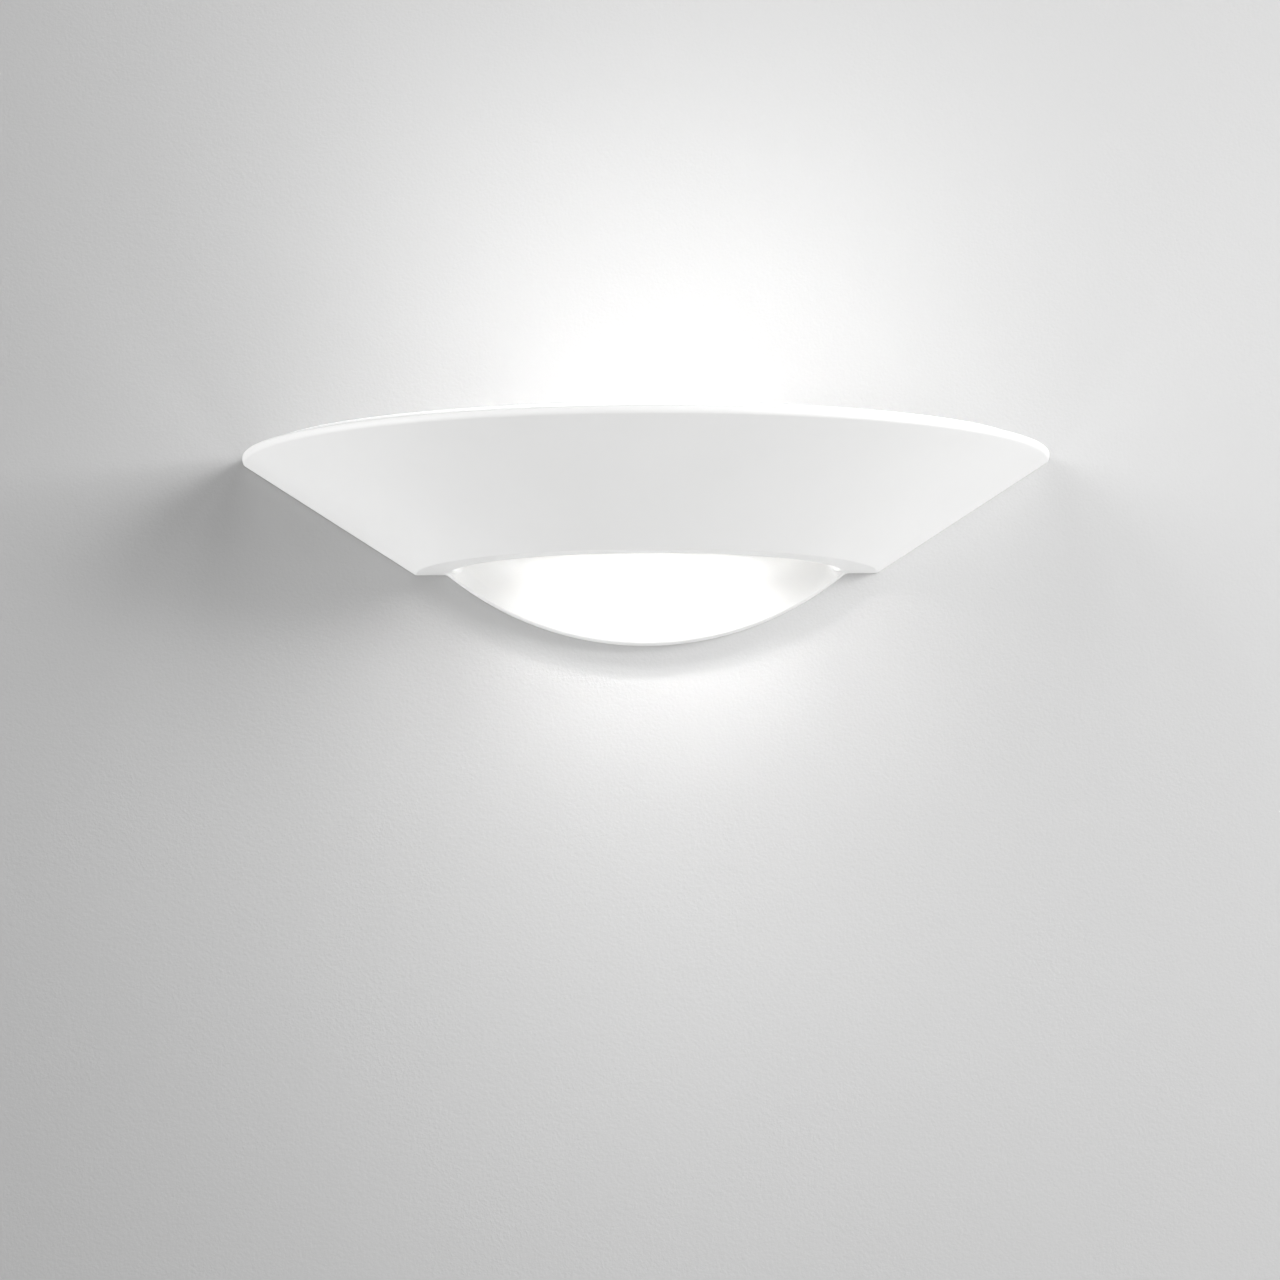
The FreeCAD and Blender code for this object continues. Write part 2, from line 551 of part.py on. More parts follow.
def make_knurled_nuts():
    """Flanged thumb nuts with a fluted grip."""
    def nut(side):
        foot = wall_point(side * STUD_OFFSET, STUD_SEAT + STUD_WASHER_THICKNESS, 0)
        solid = turned([(0, 0, 0), (KNURL_FLANGE_RADIUS, 0, 0),
                        (KNURL_FLANGE_RADIUS, KNURL_FLANGE_THICKNESS, 0.4), (0, KNURL_FLANGE_THICKNESS, 0)],
                       foot, OUT_OF_WALL)
        corners = []
        for i in range(2 * KNURL_FLUTES):
            turn = math.pi * i / KNURL_FLUTES
            radius = KNURL_RADIUS - KNURL_DEPTH * (i % 2)
            corners.append((foot.x + radius * math.cos(turn), radius * math.sin(turn), 0))
        solid = solid.fuse(plate_xz(corners, foot.y - KNURL_HEIGHT, foot.y))
        return solid.cut(rod(foot, foot + OUT_OF_WALL * (KNURL_HEIGHT + 1), STUD_RADIUS + HOLE_PLAY))

    return both_sides(nut)


# ---- Lamp bracket ----------------------------------------------------------------------------
def make_bracket_spacers():
    """Hexagonal pillars pressed into the plate, threaded for the bracket screws."""
    def spacer(side):
        x = side * SPACER_OFFSET
        corners = [(x + SPACER_RADIUS * math.cos(math.radians(60 * i)),
                    SPACER_RADIUS * math.sin(math.radians(60 * i)), 0) for i in range(6)]
        pillar = plate_xz(corners, -BASE_BACK, -PLATE_THICKNESS)
        spigot = rod(wall_point(x, 0, 0), wall_point(x, PLATE_THICKNESS, 0), M4_RADIUS)
        thread = rod(wall_point(x, BASE_BACK - 11, 0), wall_point(x, BASE_BACK + 1, 0), M4_RADIUS + HOLE_PLAY)
        return pillar.fuse(spigot).cut(thread)

    return both_sides(spacer)


def make_lamp_bracket():
    """U-shaped strip: a tall base in front of the plate and a lower arm to each holder."""
    tip = LAMP_FROM_WALL + HOLDER_HALF_WIDTH
    inner_bend = 1.5
    outer_bend = inner_bend + BRACKET_THICKNESS
    profile = [(-ARM_OUTER, -tip, 0), (-HOLDER_END, -tip, 0), (-HOLDER_END, -BRACKET_FROM_WALL, inner_bend),
               (HOLDER_END, -BRACKET_FROM_WALL, inner_bend), (HOLDER_END, -tip, 0), (ARM_OUTER, -tip, 0),
               (ARM_OUTER, -BASE_BACK, outer_bend), (-ARM_OUTER, -BASE_BACK, outer_bend)]
    face = Part.Face(outline(profile, lambda u, v: Vector(u, v, -BASE_HALF_HEIGHT)))
    strip = face.extrude(UP * (2 * BASE_HALF_HEIGHT))
    shoulder = BRACKET_FROM_WALL + 5.0
    side_view = [(-BASE_BACK + 1, -BASE_HALF_HEIGHT - 1, 0), (-BASE_BACK + 1, BASE_HALF_HEIGHT + 1, 0),
                 (-BRACKET_FROM_WALL - 1, BASE_HALF_HEIGHT + 1, 0),
                 (-BRACKET_FROM_WALL - 1, BASE_HALF_HEIGHT, 2),
                 (-shoulder, ARM_HALF_HEIGHT, 3), (-tip, ARM_HALF_HEIGHT, 3), (-tip, -ARM_HALF_HEIGHT, 3),
                 (-shoulder, -ARM_HALF_HEIGHT, 3), (-BRACKET_FROM_WALL - 1, -BASE_HALF_HEIGHT, 2),
                 (-BRACKET_FROM_WALL - 1, -BASE_HALF_HEIGHT - 1, 0)]
    mask = Part.Face(outline(side_view, lambda u, v: Vector(-ARM_OUTER - 1, u, v)))
    bracket = strip.common(mask.extrude(RIGHT * (2 * ARM_OUTER + 2)))
    holes = []
    for side in (-1, 1):
        x = side * SPACER_OFFSET
        holes.append(rod(wall_point(x, 10, 0), wall_point(x, 30, 0), M4_RADIUS + FREE_HOLE_PLAY))
        holes.append(rivet_hole(side))
        inside = Vector(side * (HOLDER_END - 2), -LAMP_FROM_WALL, 0)
        outside = Vector(side * (ARM_OUTER + 2), -LAMP_FROM_WALL, 0)
        holes.append(rod(inside, outside, BARREL_RADIUS + 1.6))
        for spread in (-SCREW_SPREAD, SCREW_SPREAD):
            shift = Vector(0, spread, 0)
            holes.append(rod(inside + shift, outside + shift, M3_RADIUS + FREE_HOLE_PLAY))
    return bracket.cut(holes)


def make_bracket_screws():
    seat = BRACKET_FROM_WALL + M4_WASHER_THICKNESS
    return both_sides(lambda side: pan_screw(wall_point(side * SPACER_OFFSET, seat, 0), OUT_OF_WALL,
                                             M4_RADIUS, 9.0, M4_HEAD, 20 * side))


def make_bracket_washers():
    return both_sides(lambda side: washer(wall_point(side * SPACER_OFFSET, BRACKET_FROM_WALL, 0), M4_RADIUS,
                                          M4_WASHER_RADIUS, M4_WASHER_THICKNESS))


def rivet_hole(side):
    x = side * RIVET_OFFSET
    front = wall_point(x, BRACKET_FROM_WALL + 5, 0)
    return rod(wall_point(x, BASE_BACK - 2, 0), front, RIVET_RADIUS + HOLE_PLAY)


def reflector_back(z):
    """Depth of the reflector's rear face at a height: flat in the middle, curved at its edges."""
    flat = REFLECTOR_HALF_HEIGHT * REFLECTOR_FLAT
    share = max(0.0, abs(z) - flat) / (REFLECTOR_HALF_HEIGHT - flat)
    return BRACKET_FROM_WALL + REFLECTOR_RISE * share ** 2


def make_reflector():
    """Bright sheet with a flat middle and edges that curl towards the lamp."""
    flat = REFLECTOR_HALF_HEIGHT * REFLECTOR_FLAT
    edge = REFLECTOR_HALF_HEIGHT
    half_way = (flat + edge) / 2

    def section(offset):
        return [Vector(-REFLECTOR_HALF_LENGTH, -reflector_back(z) - offset, z)
                for z in (-edge, -half_way, -flat, flat, half_way, edge)]

    rear, front = section(0), section(REFLECTOR_THICKNESS)
    edges = [Part.Arc(rear[0], rear[1], rear[2]).toShape(),
             Part.LineSegment(rear[2], rear[3]).toShape(),
             Part.Arc(rear[3], rear[4], rear[5]).toShape(),
             Part.LineSegment(rear[5], front[5]).toShape(),
             Part.Arc(front[5], front[4], front[3]).toShape(),
             Part.LineSegment(front[3], front[2]).toShape(),
             Part.Arc(front[2], front[1], front[0]).toShape(),
             Part.LineSegment(front[0], rear[0]).toShape()]
    sheet = Part.Face(Part.Wire(edges)).extrude(RIGHT * (2 * REFLECTOR_HALF_LENGTH))
    return sheet.cut([rivet_hole(-1), rivet_hole(1)])


def make_reflector_rivets():
    tail_radius, tail_height = 2.3, 0.9
    head_radius, head_height = 2.8, 1.1
    grip_end = tail_height + BRACKET_THICKNESS + REFLECTOR_THICKNESS
    top = grip_end + head_height

    def rivet(side):
        tail = wall_point(side * RIVET_OFFSET, BASE_BACK - tail_height, 0)
        return turned([(0, 0, 0), (tail_radius, 0, 0.4), (tail_radius, tail_height, 0),
                       (RIVET_RADIUS, tail_height, 0), (RIVET_RADIUS, grip_end, 0), (head_radius, grip_end, 0),
                       (head_radius, top, 0.8), (0, top, 0)], tail, OUT_OF_WALL)

    return both_sides(rivet)


# ---- Lampholders and contacts ------------------------------------------------------------------
def make_lampholder(side):
    """Ceramic block with a cradle under the lamp's cap and a bore for its contact."""
    def at(x):
        return side * x

    def span(a, b):
        return tuple(sorted((at(a), at(b))))

    width = (-LAMP_FROM_WALL - HOLDER_HALF_WIDTH, -LAMP_FROM_WALL + HOLDER_HALF_WIDTH)
    corners = [(width[0], HOLDER_BOTTOM, 2.0), (width[1], HOLDER_BOTTOM, 2.0),
               (width[1], HOLDER_TOP, 3.5), (width[0], HOLDER_TOP, 3.5)]
    face = Part.Face(outline(corners, lambda u, v: Vector(at(HOLDER_X), u, v)))
    body = face.extrude(RIGHT * at(HOLDER_LENGTH))

    channel = CAP_RADIUS + CLEARANCE
    outer = channel + CRADLE_WALL
    rear, front = -LAMP_FROM_WALL + outer, -LAMP_FROM_WALL - outer
    cradle_corners = [(front, -outer - 1.0, 2.5), (rear, -outer - 1.0, 2.5), (rear, 1.5, 0.6), (front, 1.5, 0.6)]
    cradle_face = Part.Face(outline(cradle_corners, lambda u, v: Vector(at(HOLDER_X - CRADLE_LENGTH), u, v)))
    cradle = cradle_face.extrude(RIGHT * at(CRADLE_LENGTH))
    centre = Vector(0, -LAMP_FROM_WALL, 0)
    trough = rod(centre + RIGHT * at(HOLDER_X - CRADLE_LENGTH - 1), centre + RIGHT * at(HOLDER_X), channel)
    mouth = block(span(HOLDER_X - CRADLE_LENGTH - 1, HOLDER_X),
                  (-LAMP_FROM_WALL - channel, -LAMP_FROM_WALL + channel), (0, 10))
    body = body.fuse(cradle).cut([trough, mouth])

    nose = rod(centre + RIGHT * at(HOLDER_X - 1), centre + RIGHT * at(HOLDER_END + 1),
               NOSE_RADIUS + RUNNING_FIT)
    chamber = rod(centre + RIGHT * at(CHAMBER_X), centre + RIGHT * at(HOLDER_END + 1),
                  BARREL_RADIUS + HOLE_PLAY)
    cuts = [nose, chamber]
    for spread in (-SCREW_SPREAD, SCREW_SPREAD):
        line = centre + Vector(0, spread, 0)
        cuts.append(rod(line + RIGHT * at(HOLDER_X - 1), line + RIGHT * at(HOLDER_END + 1),
                        M3_RADIUS + FREE_HOLE_PLAY))
        cuts.append(hexagon(line + RIGHT * at(HOLDER_X - 1), side, NUT_ACROSS / 2 + NUT_PLAY,
                            1 + NUT_POCKET))
    return body.cut(cuts).removeSplitter()


def hexagon(start, side, half_across, length):
    """Hexagonal bar along X, from a point towards the given side."""
    corner = half_across / math.cos(math.radians(30))
    points = [(start.y + corner * math.cos(math.radians(60 * i + 30)),
               start.z + corner * math.sin(math.radians(60 * i + 30)), 0) for i in range(6)]
    face = Part.Face(outline(points, lambda u, v: Vector(start.x, u, v)))
    return face.extrude(RIGHT * (side * length))


def holder_lines():
    """Side and position of each of the four holder screws."""
    return [(side, Vector(0, -LAMP_FROM_WALL + spread, 0))
            for side in (-1, 1) for spread in (-SCREW_SPREAD, SCREW_SPREAD)]


def make_holder_screws():
    screws = []
    for side, line in holder_lines():
        seat = line + RIGHT * (side * ARM_OUTER)
        length = ARM_OUTER - HOLDER_X - 0.4
        screws.append(pan_screw(seat, RIGHT * side, M3_RADIUS, length, M3_HEAD, 35))
    return Part.makeCompound(screws)


def make_holder_nuts():
    nuts = []
    for side, line in holder_lines():
        start = line + RIGHT * (side * (HOLDER_X + NUT_POCKET - NUT_THICKNESS))
        nut = hexagon(start, side, NUT_ACROSS / 2, NUT_THICKNESS)
        hole = rod(line, line + RIGHT * (side * HOLDER_END), M3_RADIUS + HOLE_PLAY)
        nuts.append(nut.cut(hole))
    return Part.makeCompound(nuts)


def lamp_axis_point(x):
    return Vector(x, -LAMP_FROM_WALL, 0)


def contact_tail():
    """Rear flange and tail shared by both holders' contacts, as lathe corners."""
    return [(BARREL_RADIUS, HOLDER_END, 0), (BARREL_FLANGE, HOLDER_END, 0), (BARREL_FLANGE, FLANGE_END, 0.3),
            (TAIL_RADIUS, FLANGE_END, 0), (TAIL_RADIUS, TAIL_END, 0.3), (0, TAIL_END, 0)]


def make_fixed_contact():
    corners = [(0, CONTACT_X, 0), (NOSE_RADIUS, CONTACT_X, 0.9), (NOSE_RADIUS, CHAMBER_X, 0),
               (BARREL_RADIUS, CHAMBER_X, 0)] + contact_tail()
    return turned(corners, lamp_axis_point(0), RIGHT * -1)


def make_contact_barrel():
    bore = BARREL_RADIUS - BARREL_WALL
    corners = [(bore, CHAMBER_X, 0), (BARREL_RADIUS, CHAMBER_X, 0)] + contact_tail()
    corners += [(0, BARREL_FLOOR, 0), (bore, BARREL_FLOOR, 0)]
    return turned(corners, lamp_axis_point(0), RIGHT)


def make_sprung_contact():
    collar = BARREL_RADIUS - BARREL_WALL - RUNNING_FIT
    collar_start = CHAMBER_X + CONTACT_COLLAR_GAP
    collar_end = collar_start + CONTACT_COLLAR_THICKNESS
    stem_radius = 1.3
    stem_end = collar_end + 2.0
    corners = [(0, CONTACT_X, 0), (NOSE_RADIUS, CONTACT_X, 0.9), (NOSE_RADIUS, collar_start, 0),
               (collar, collar_start, 0.2), (collar, collar_end, 0.2), (stem_radius, collar_end, 0),
               (stem_radius, stem_end, 0.3), (0, stem_end, 0)]
    return turned(corners, lamp_axis_point(0), RIGHT)


def make_contact_spring():
    """Compression spring of square wire between the contact's collar and the barrel's floor."""
    end_play = 0.05
    side_play = 0.45
    start = CHAMBER_X + CONTACT_COLLAR_GAP + CONTACT_COLLAR_THICKNESS + SPRING_WIRE / 2 + end_play
    end = BARREL_FLOOR - SPRING_WIRE / 2 - end_play
    coil_radius = BARREL_RADIUS - BARREL_WALL - side_play - SPRING_WIRE / 2
    length = end - start
    helix = Part.makeHelix(length / SPRING_TURNS, length, coil_radius)
    half = SPRING_WIRE / 2
    corners = [Vector(coil_radius + u * half, 0, v * half) for u, v in ((-1, -1), (1, -1), (1, 1), (-1, 1))]
    section = Part.makePolygon(corners + corners[:1])
    coil = Part.Wire(helix).makePipeShell([section], True, True)
    coil.Placement = FreeCAD.Placement(lamp_axis_point(start), FreeCAD.Rotation(UP, RIGHT))
    return coil


# ---- Lamp ----------------------------------------------------------------------------------------
def make_lamp_tube():
    """Quartz tube with rounded shoulders, a flat pinch at each end and a sealed filling tip."""
    inner = LAMP_TUBE_RADIUS - LAMP_TUBE_WALL
    half = LAMP_TUBE_HALF
    tube = turned([(0, -half, 0), (LAMP_TUBE_RADIUS, -half, 3.0), (LAMP_TUBE_RADIUS, half, 3.0), (0, half, 0)],
                  lamp_axis_point(0), RIGHT)
    tip_end = LAMP_TUBE_RADIUS + TIP_RISE
    tip = turned([(0, 0, 0), (1.6, 0, 0), (0.7, tip_end, 0.4), (0, tip_end, 0)], lamp_axis_point(0), UP)
    tube = tube.fuse(tip)
    for side in (-1, 1):
        x = sorted((side * HOLLOW_HALF, side * PINCH_END))
        tube = tube.fuse(block(x, (-LAMP_FROM_WALL - PINCH_HALF_WIDTH, -LAMP_FROM_WALL + PINCH_HALF_WIDTH),
                               (-PINCH_HALF_THICKNESS, PINCH_HALF_THICKNESS)))
    hollow = turned([(0, -HOLLOW_HALF, 0), (inner, -HOLLOW_HALF, 2.0), (inner, HOLLOW_HALF, 2.0),
                     (0, HOLLOW_HALF, 0)], lamp_axis_point(0), RIGHT)
    return tube.cut(hollow).removeSplitter()


def make_lamp_caps():
    """Ceramic end caps with a slot for the pinch and a recess for the contact."""
    def cap(side):
        inner_end = LAMP_HALF_LENGTH - CAP_LENGTH
        body = turned([(0, inner_end, 0), (CAP_RADIUS, inner_end, 0.8), (CAP_RADIUS, LAMP_HALF_LENGTH, 0.8),
                       (0, LAMP_HALF_LENGTH, 0)], lamp_axis_point(0), RIGHT * side)
        x = sorted((side * (inner_end - 1), side * (PINCH_END + PINCH_PLAY)))
        width = PINCH_HALF_WIDTH + PINCH_PLAY
        thickness = PINCH_HALF_THICKNESS + PINCH_PLAY
        slot = block(x, (-LAMP_FROM_WALL - width, -LAMP_FROM_WALL + width), (-thickness, thickness))
        recess = rod(lamp_axis_point(side * (CONTACT_X - BUTTON_THICKNESS)),
                     lamp_axis_point(side * (LAMP_HALF_LENGTH + 1)), CONTACT_HOLE_RADIUS)
        return body.cut([slot, recess])

    return both_sides(cap)


def make_lamp_contacts():
    return both_sides(lambda side: rod(lamp_axis_point(side * (CONTACT_X - BUTTON_THICKNESS)),
                                       lamp_axis_point(side * CONTACT_X), CONTACT_HOLE_RADIUS - 0.02))


def make_lamp_filament():
    """Outer form of the coiled filament, with a straight lead at each end."""
    coil = rod(lamp_axis_point(-FILAMENT_HALF_LENGTH), lamp_axis_point(FILAMENT_HALF_LENGTH), FILAMENT_RADIUS)
    for side in (-1, 1):
        coil = coil.fuse(rod(lamp_axis_point(side * (FILAMENT_HALF_LENGTH - 1)),
                             lamp_axis_point(side * HOLLOW_HALF), LEAD_RADIUS))
    return coil.removeSplitter()


def make_filament_supports():
    """Fine rings that keep the filament off the quartz, each with one spoke to it."""
    outer = LAMP_TUBE_RADIUS - LAMP_TUBE_WALL - 0.05
    gauge = SUPPORT_GAUGE
    rings = []
    for side in (-1, 1):
        x = side * FILAMENT_HALF_LENGTH * 0.45
        ring = turned([(outer - gauge, 0, 0), (outer, 0, 0), (outer, gauge, 0), (outer - gauge, gauge, 0)],
                      lamp_axis_point(x), RIGHT)
        spoke = block((x, x + gauge), (-LAMP_FROM_WALL - gauge / 2, -LAMP_FROM_WALL + gauge / 2),
                      (-outer + gauge / 2, -FILAMENT_RADIUS - 0.02))
        rings.append(ring.fuse(spoke))
    return Part.makeCompound(rings)


# ---- Terminal block, earth and wiring ---------------------------------------------------------------
def pole_x(index):
    """Earth, neutral and live poles, left to right."""
    return BLOCK_CENTRE + (index - 1) * POLE_PITCH


def make_terminal_block():
    """Three towers on one base, with an ear at each end."""
    base_top = PLATE_THICKNESS + EAR_THICKNESS
    half = 1.5 * POLE_PITCH
    left, right = BLOCK_CENTRE - half - EAR_LENGTH, BLOCK_CENTRE + half + EAR_LENGTH
    base = plate_xz([(left, -4.0, 2.5), (right, -4.0, 2.5), (right, 4.0, 2.5), (left, 4.0, 2.5)],
                    -base_top, -PLATE_THICKNESS)
    top = PLATE_THICKNESS + BLOCK_DEPTH
    body = base
    cuts = []
    for index in range(3):
        x = pole_x(index)
        reach = POLE_PITCH / 2
        body = body.fuse(block((x - reach, x + reach), (-CHANNEL_DEPTH - TUBE_HALF_WIDTH - 1, -PLATE_THICKNESS),
                               (-BLOCK_HALF_WIDTH, BLOCK_HALF_WIDTH)))
        tower = block((x - POLE_WIDTH / 2, x + POLE_WIDTH / 2), (-top, -CHANNEL_DEPTH),
                      (-TOWER_HALF_WIDTH, TOWER_HALF_WIDTH))
        body = body.fuse(tower)
        play = TUBE_HALF_WIDTH + 0.05
        cuts.append(block((x - play, x + play), (-CHANNEL_DEPTH - play, -CHANNEL_DEPTH + play),
                          (-BLOCK_HALF_WIDTH - 1, BLOCK_HALF_WIDTH + 1)))
        cuts.append(rod(wall_point(x, CHANNEL_DEPTH, 0), wall_point(x, top + 1, 0), CLAMP_HEAD_RADIUS + 0.2))
    for index in (0, 1):
        x = pole_x(index) + POLE_PITCH / 2
        cuts.append(block((x - 0.4, x + 0.4), (-top, -base_top), (-BLOCK_HALF_WIDTH - 1, BLOCK_HALF_WIDTH + 1)))
    for side in (-1, 1):
        x = ear_hole_x(side)
        cuts.append(rod(wall_point(x, 0, 0), wall_point(x, base_top + 1, 0), M3_RADIUS + FREE_HOLE_PLAY))
    return body.cut(cuts).removeSplitter()


def make_terminal_tubes():
    """Brass clamp bodies: square bars with a bore for the wire and one for the clamp screw."""
    tubes = []
    for index in range(3):
        x = pole_x(index)
        bar = block((x - TUBE_HALF_WIDTH, x + TUBE_HALF_WIDTH),
                    (-CHANNEL_DEPTH - TUBE_HALF_WIDTH, -CHANNEL_DEPTH + TUBE_HALF_WIDTH),
                    (-TUBE_HALF_LENGTH, TUBE_HALF_LENGTH))
        foot = wall_point(x, CHANNEL_DEPTH, -TUBE_HALF_LENGTH - 1)
        bore = rod(foot, foot + UP * (2 * TUBE_HALF_LENGTH + 2), TUBE_BORE)
        screw_hole = rod(wall_point(x, CHANNEL_DEPTH, 0), wall_point(x, CHANNEL_DEPTH + 5, 0),
                         CLAMP_RADIUS + HOLE_PLAY)
        tubes.append(bar.cut([bore, screw_hole]))
    return Part.makeCompound(tubes)


def make_terminal_screws():
    """One clamp screw per pole, sunk in its tower and bearing on the wire."""
    tip = CHANNEL_DEPTH + WIRE_RADIUS + 0.05
    head = PLATE_THICKNESS + BLOCK_DEPTH - 1.0
    screws = []
    for index in range(3):
        foot = wall_point(pole_x(index), tip, 0)
        length = head - tip
        screw = turned([(0, 0, 0), (CLAMP_RADIUS, 0, 0.3), (CLAMP_RADIUS, length - 2.0, 0),
                        (CLAMP_HEAD_RADIUS, length - 2.0, 0), (CLAMP_HEAD_RADIUS, length, 0.2),
                        (0, length, 0)], foot, OUT_OF_WALL)
        slot = block((pole_x(index) - 2.5, pole_x(index) + 2.5), (-head - 1, -head + 0.9), (-0.3, 0.3))
        screws.append(screw.cut(slot))
    return Part.makeCompound(screws)


def make_terminal_fixings():
    seat = PLATE_THICKNESS + EAR_THICKNESS
    return both_sides(lambda side: pan_screw(wall_point(ear_hole_x(side), seat, 0), OUT_OF_WALL,
                                             M3_RADIUS, seat - 0.2, M3_HEAD, 60 * side))


def make_earth_lug():
    """Ring tag with a crimped barrel that points to the terminal block."""
    y = PLATE_THICKNESS
    ring = rod(wall_point(EARTH_OFFSET, y, 0), wall_point(EARTH_OFFSET, y + LUG_THICKNESS, 0), LUG_RADIUS)
    tip = EARTH_OFFSET + LUG_REACH
    barrel_radius = WIRE_RADIUS + LUG_BARREL_WALL
    neck = block((EARTH_OFFSET, tip - LUG_BARREL_LENGTH + 1), (-y - LUG_THICKNESS, -y),
                 (-barrel_radius, barrel_radius))
    start = wall_point(tip - LUG_BARREL_LENGTH, LUG_AXIS, 0)
    end = wall_point(tip, LUG_AXIS, 0)
    lug = ring.fuse(neck).fuse(rod(start, end, barrel_radius))
    bore = rod(start + RIGHT, end + RIGHT, WIRE_RADIUS + 0.05)
    hole = rod(wall_point(EARTH_OFFSET, 0, 0), wall_point(EARTH_OFFSET, 5, 0), M4_RADIUS + FREE_HOLE_PLAY)
    return lug.cut([bore, hole]).removeSplitter()


def make_earth_washer():
    return washer(wall_point(EARTH_OFFSET, PLATE_THICKNESS + LUG_THICKNESS, 0), M4_RADIUS,
                  M4_WASHER_RADIUS, EARTH_WASHER_THICKNESS)


def make_earth_screw():
    seat = PLATE_THICKNESS + LUG_THICKNESS + EARTH_WASHER_THICKNESS
    return pan_screw(wall_point(EARTH_OFFSET, seat, 0), OUT_OF_WALL, M4_RADIUS, seat - 0.2, M4_HEAD, 75)


def bent_wire(name, points, radius):
    """Eight-sided wire along straight runs joined by tangent arcs as large as the runs allow."""
    edges = []
    radii = []
    last = points[0]
    for before, corner, after in zip(points, points[1:], points[2:]):
        back = before - corner
        ahead = after - corner
        turn = math.pi - back.getAngle(ahead)
        reach = 0.45 * min(back.Length, ahead.Length)
        radii.append(reach / math.tan(turn / 2))
        back.normalize()
        ahead.normalize()
        start = corner + back * reach
        end = corner + ahead * reach
        bisector = (back + ahead).normalize()
        half = (math.pi - turn) / 2
        middle = corner + bisector * (radii[-1] / math.sin(half) - radii[-1])
        edges.append(Part.LineSegment(last, start).toShape())
        edges.append(Part.Arc(start, middle, end).toShape())
        last = end
    edges.append(Part.LineSegment(last, points[-1]).toShape())
    path = Part.Wire(edges)
    rim = Part.makeCircle(radius, points[0], points[1] - points[0]).discretize(9)
    solid = path.makePipeShell([Part.makePolygon(rim)], True, False)
    expected = Part.Face(Part.makePolygon(rim)).Area * path.Length
    print(name, "bend radii", [round(r, 1) for r in radii], "volume ratio", round(solid.Volume / expected, 4))
    return solid


def holder_approach(side):
    """Last points of a lamp wire: a loop past the end of the bracket and in to a holder's tail."""
    cut_corner = (LAMP_FROM_WALL - WIRE_DEPTH) * 0.29
    outermost = TAIL_END + WIRE_LOOP
    return [wall_point(side * (outermost - cut_corner), WIRE_DEPTH, WIRE_LIFT),
            wall_point(side * outermost, WIRE_DEPTH + cut_corner, WIRE_LIFT * 0.85),
            wall_point(side * outermost, LAMP_FROM_WALL - cut_corner, WIRE_LIFT * 0.35),
            wall_point(side * (TAIL_END + WIRE_LOOP * 0.6), LAMP_FROM_WALL, 0),
            wall_point(side * TAIL_END, LAMP_FROM_WALL, 0)]


def block_exit(index):
    """First points of a wire: inside a pole's tube and straight up out of it."""
    return [wall_point(pole_x(index), CHANNEL_DEPTH, -2.0),
            wall_point(pole_x(index), CHANNEL_DEPTH, WIRE_LIFT - 1.5)]


def make_live_wire():
    points = block_exit(2) + [wall_point(pole_x(2) + 9.0, WIRE_DEPTH, WIRE_LIFT)] + holder_approach(1)
    return bent_wire("live_wire", points, WIRE_RADIUS)


def make_neutral_wire():
    points = block_exit(1) + [wall_point(pole_x(1) - 9.0, WIRE_DEPTH, WIRE_LIFT)] + holder_approach(-1)
    return bent_wire("neutral_wire", points, WIRE_RADIUS)


def make_earth_wire():
    lug_end = EARTH_OFFSET + LUG_REACH
    points = block_exit(0) + [wall_point(pole_x(0) - 12.0, CHANNEL_DEPTH - 0.2, WIRE_LIFT - 1.0),
                              wall_point(lug_end + 16.5, CHANNEL_DEPTH - 0.8, WIRE_LIFT - 3.0),
                              wall_point(lug_end + 10.5, LUG_AXIS + 1.2, 3.0),
                              wall_point(lug_end + 5.5, LUG_AXIS, 0),
                              wall_point(lug_end - 4.0, LUG_AXIS, 0)]
    return bent_wire("earth_wire", points, WIRE_RADIUS)


def make_contact_sleeves():
    """Insulating sleeves over each contact's tail and the end of its wire."""
    start = FLANGE_END + 0.2
    end = TAIL_END + SLEEVE_OVERLAP
    bore = TAIL_RADIUS + 0.05
    outside = bore + SLEEVE_WALL

    def sleeve(side):
        return turned([(bore, start, 0), (outside, start, 0.3), (outside, end, 0.3), (bore, end, 0)],
                      lamp_axis_point(0), RIGHT * side)

    return both_sides(sleeve)


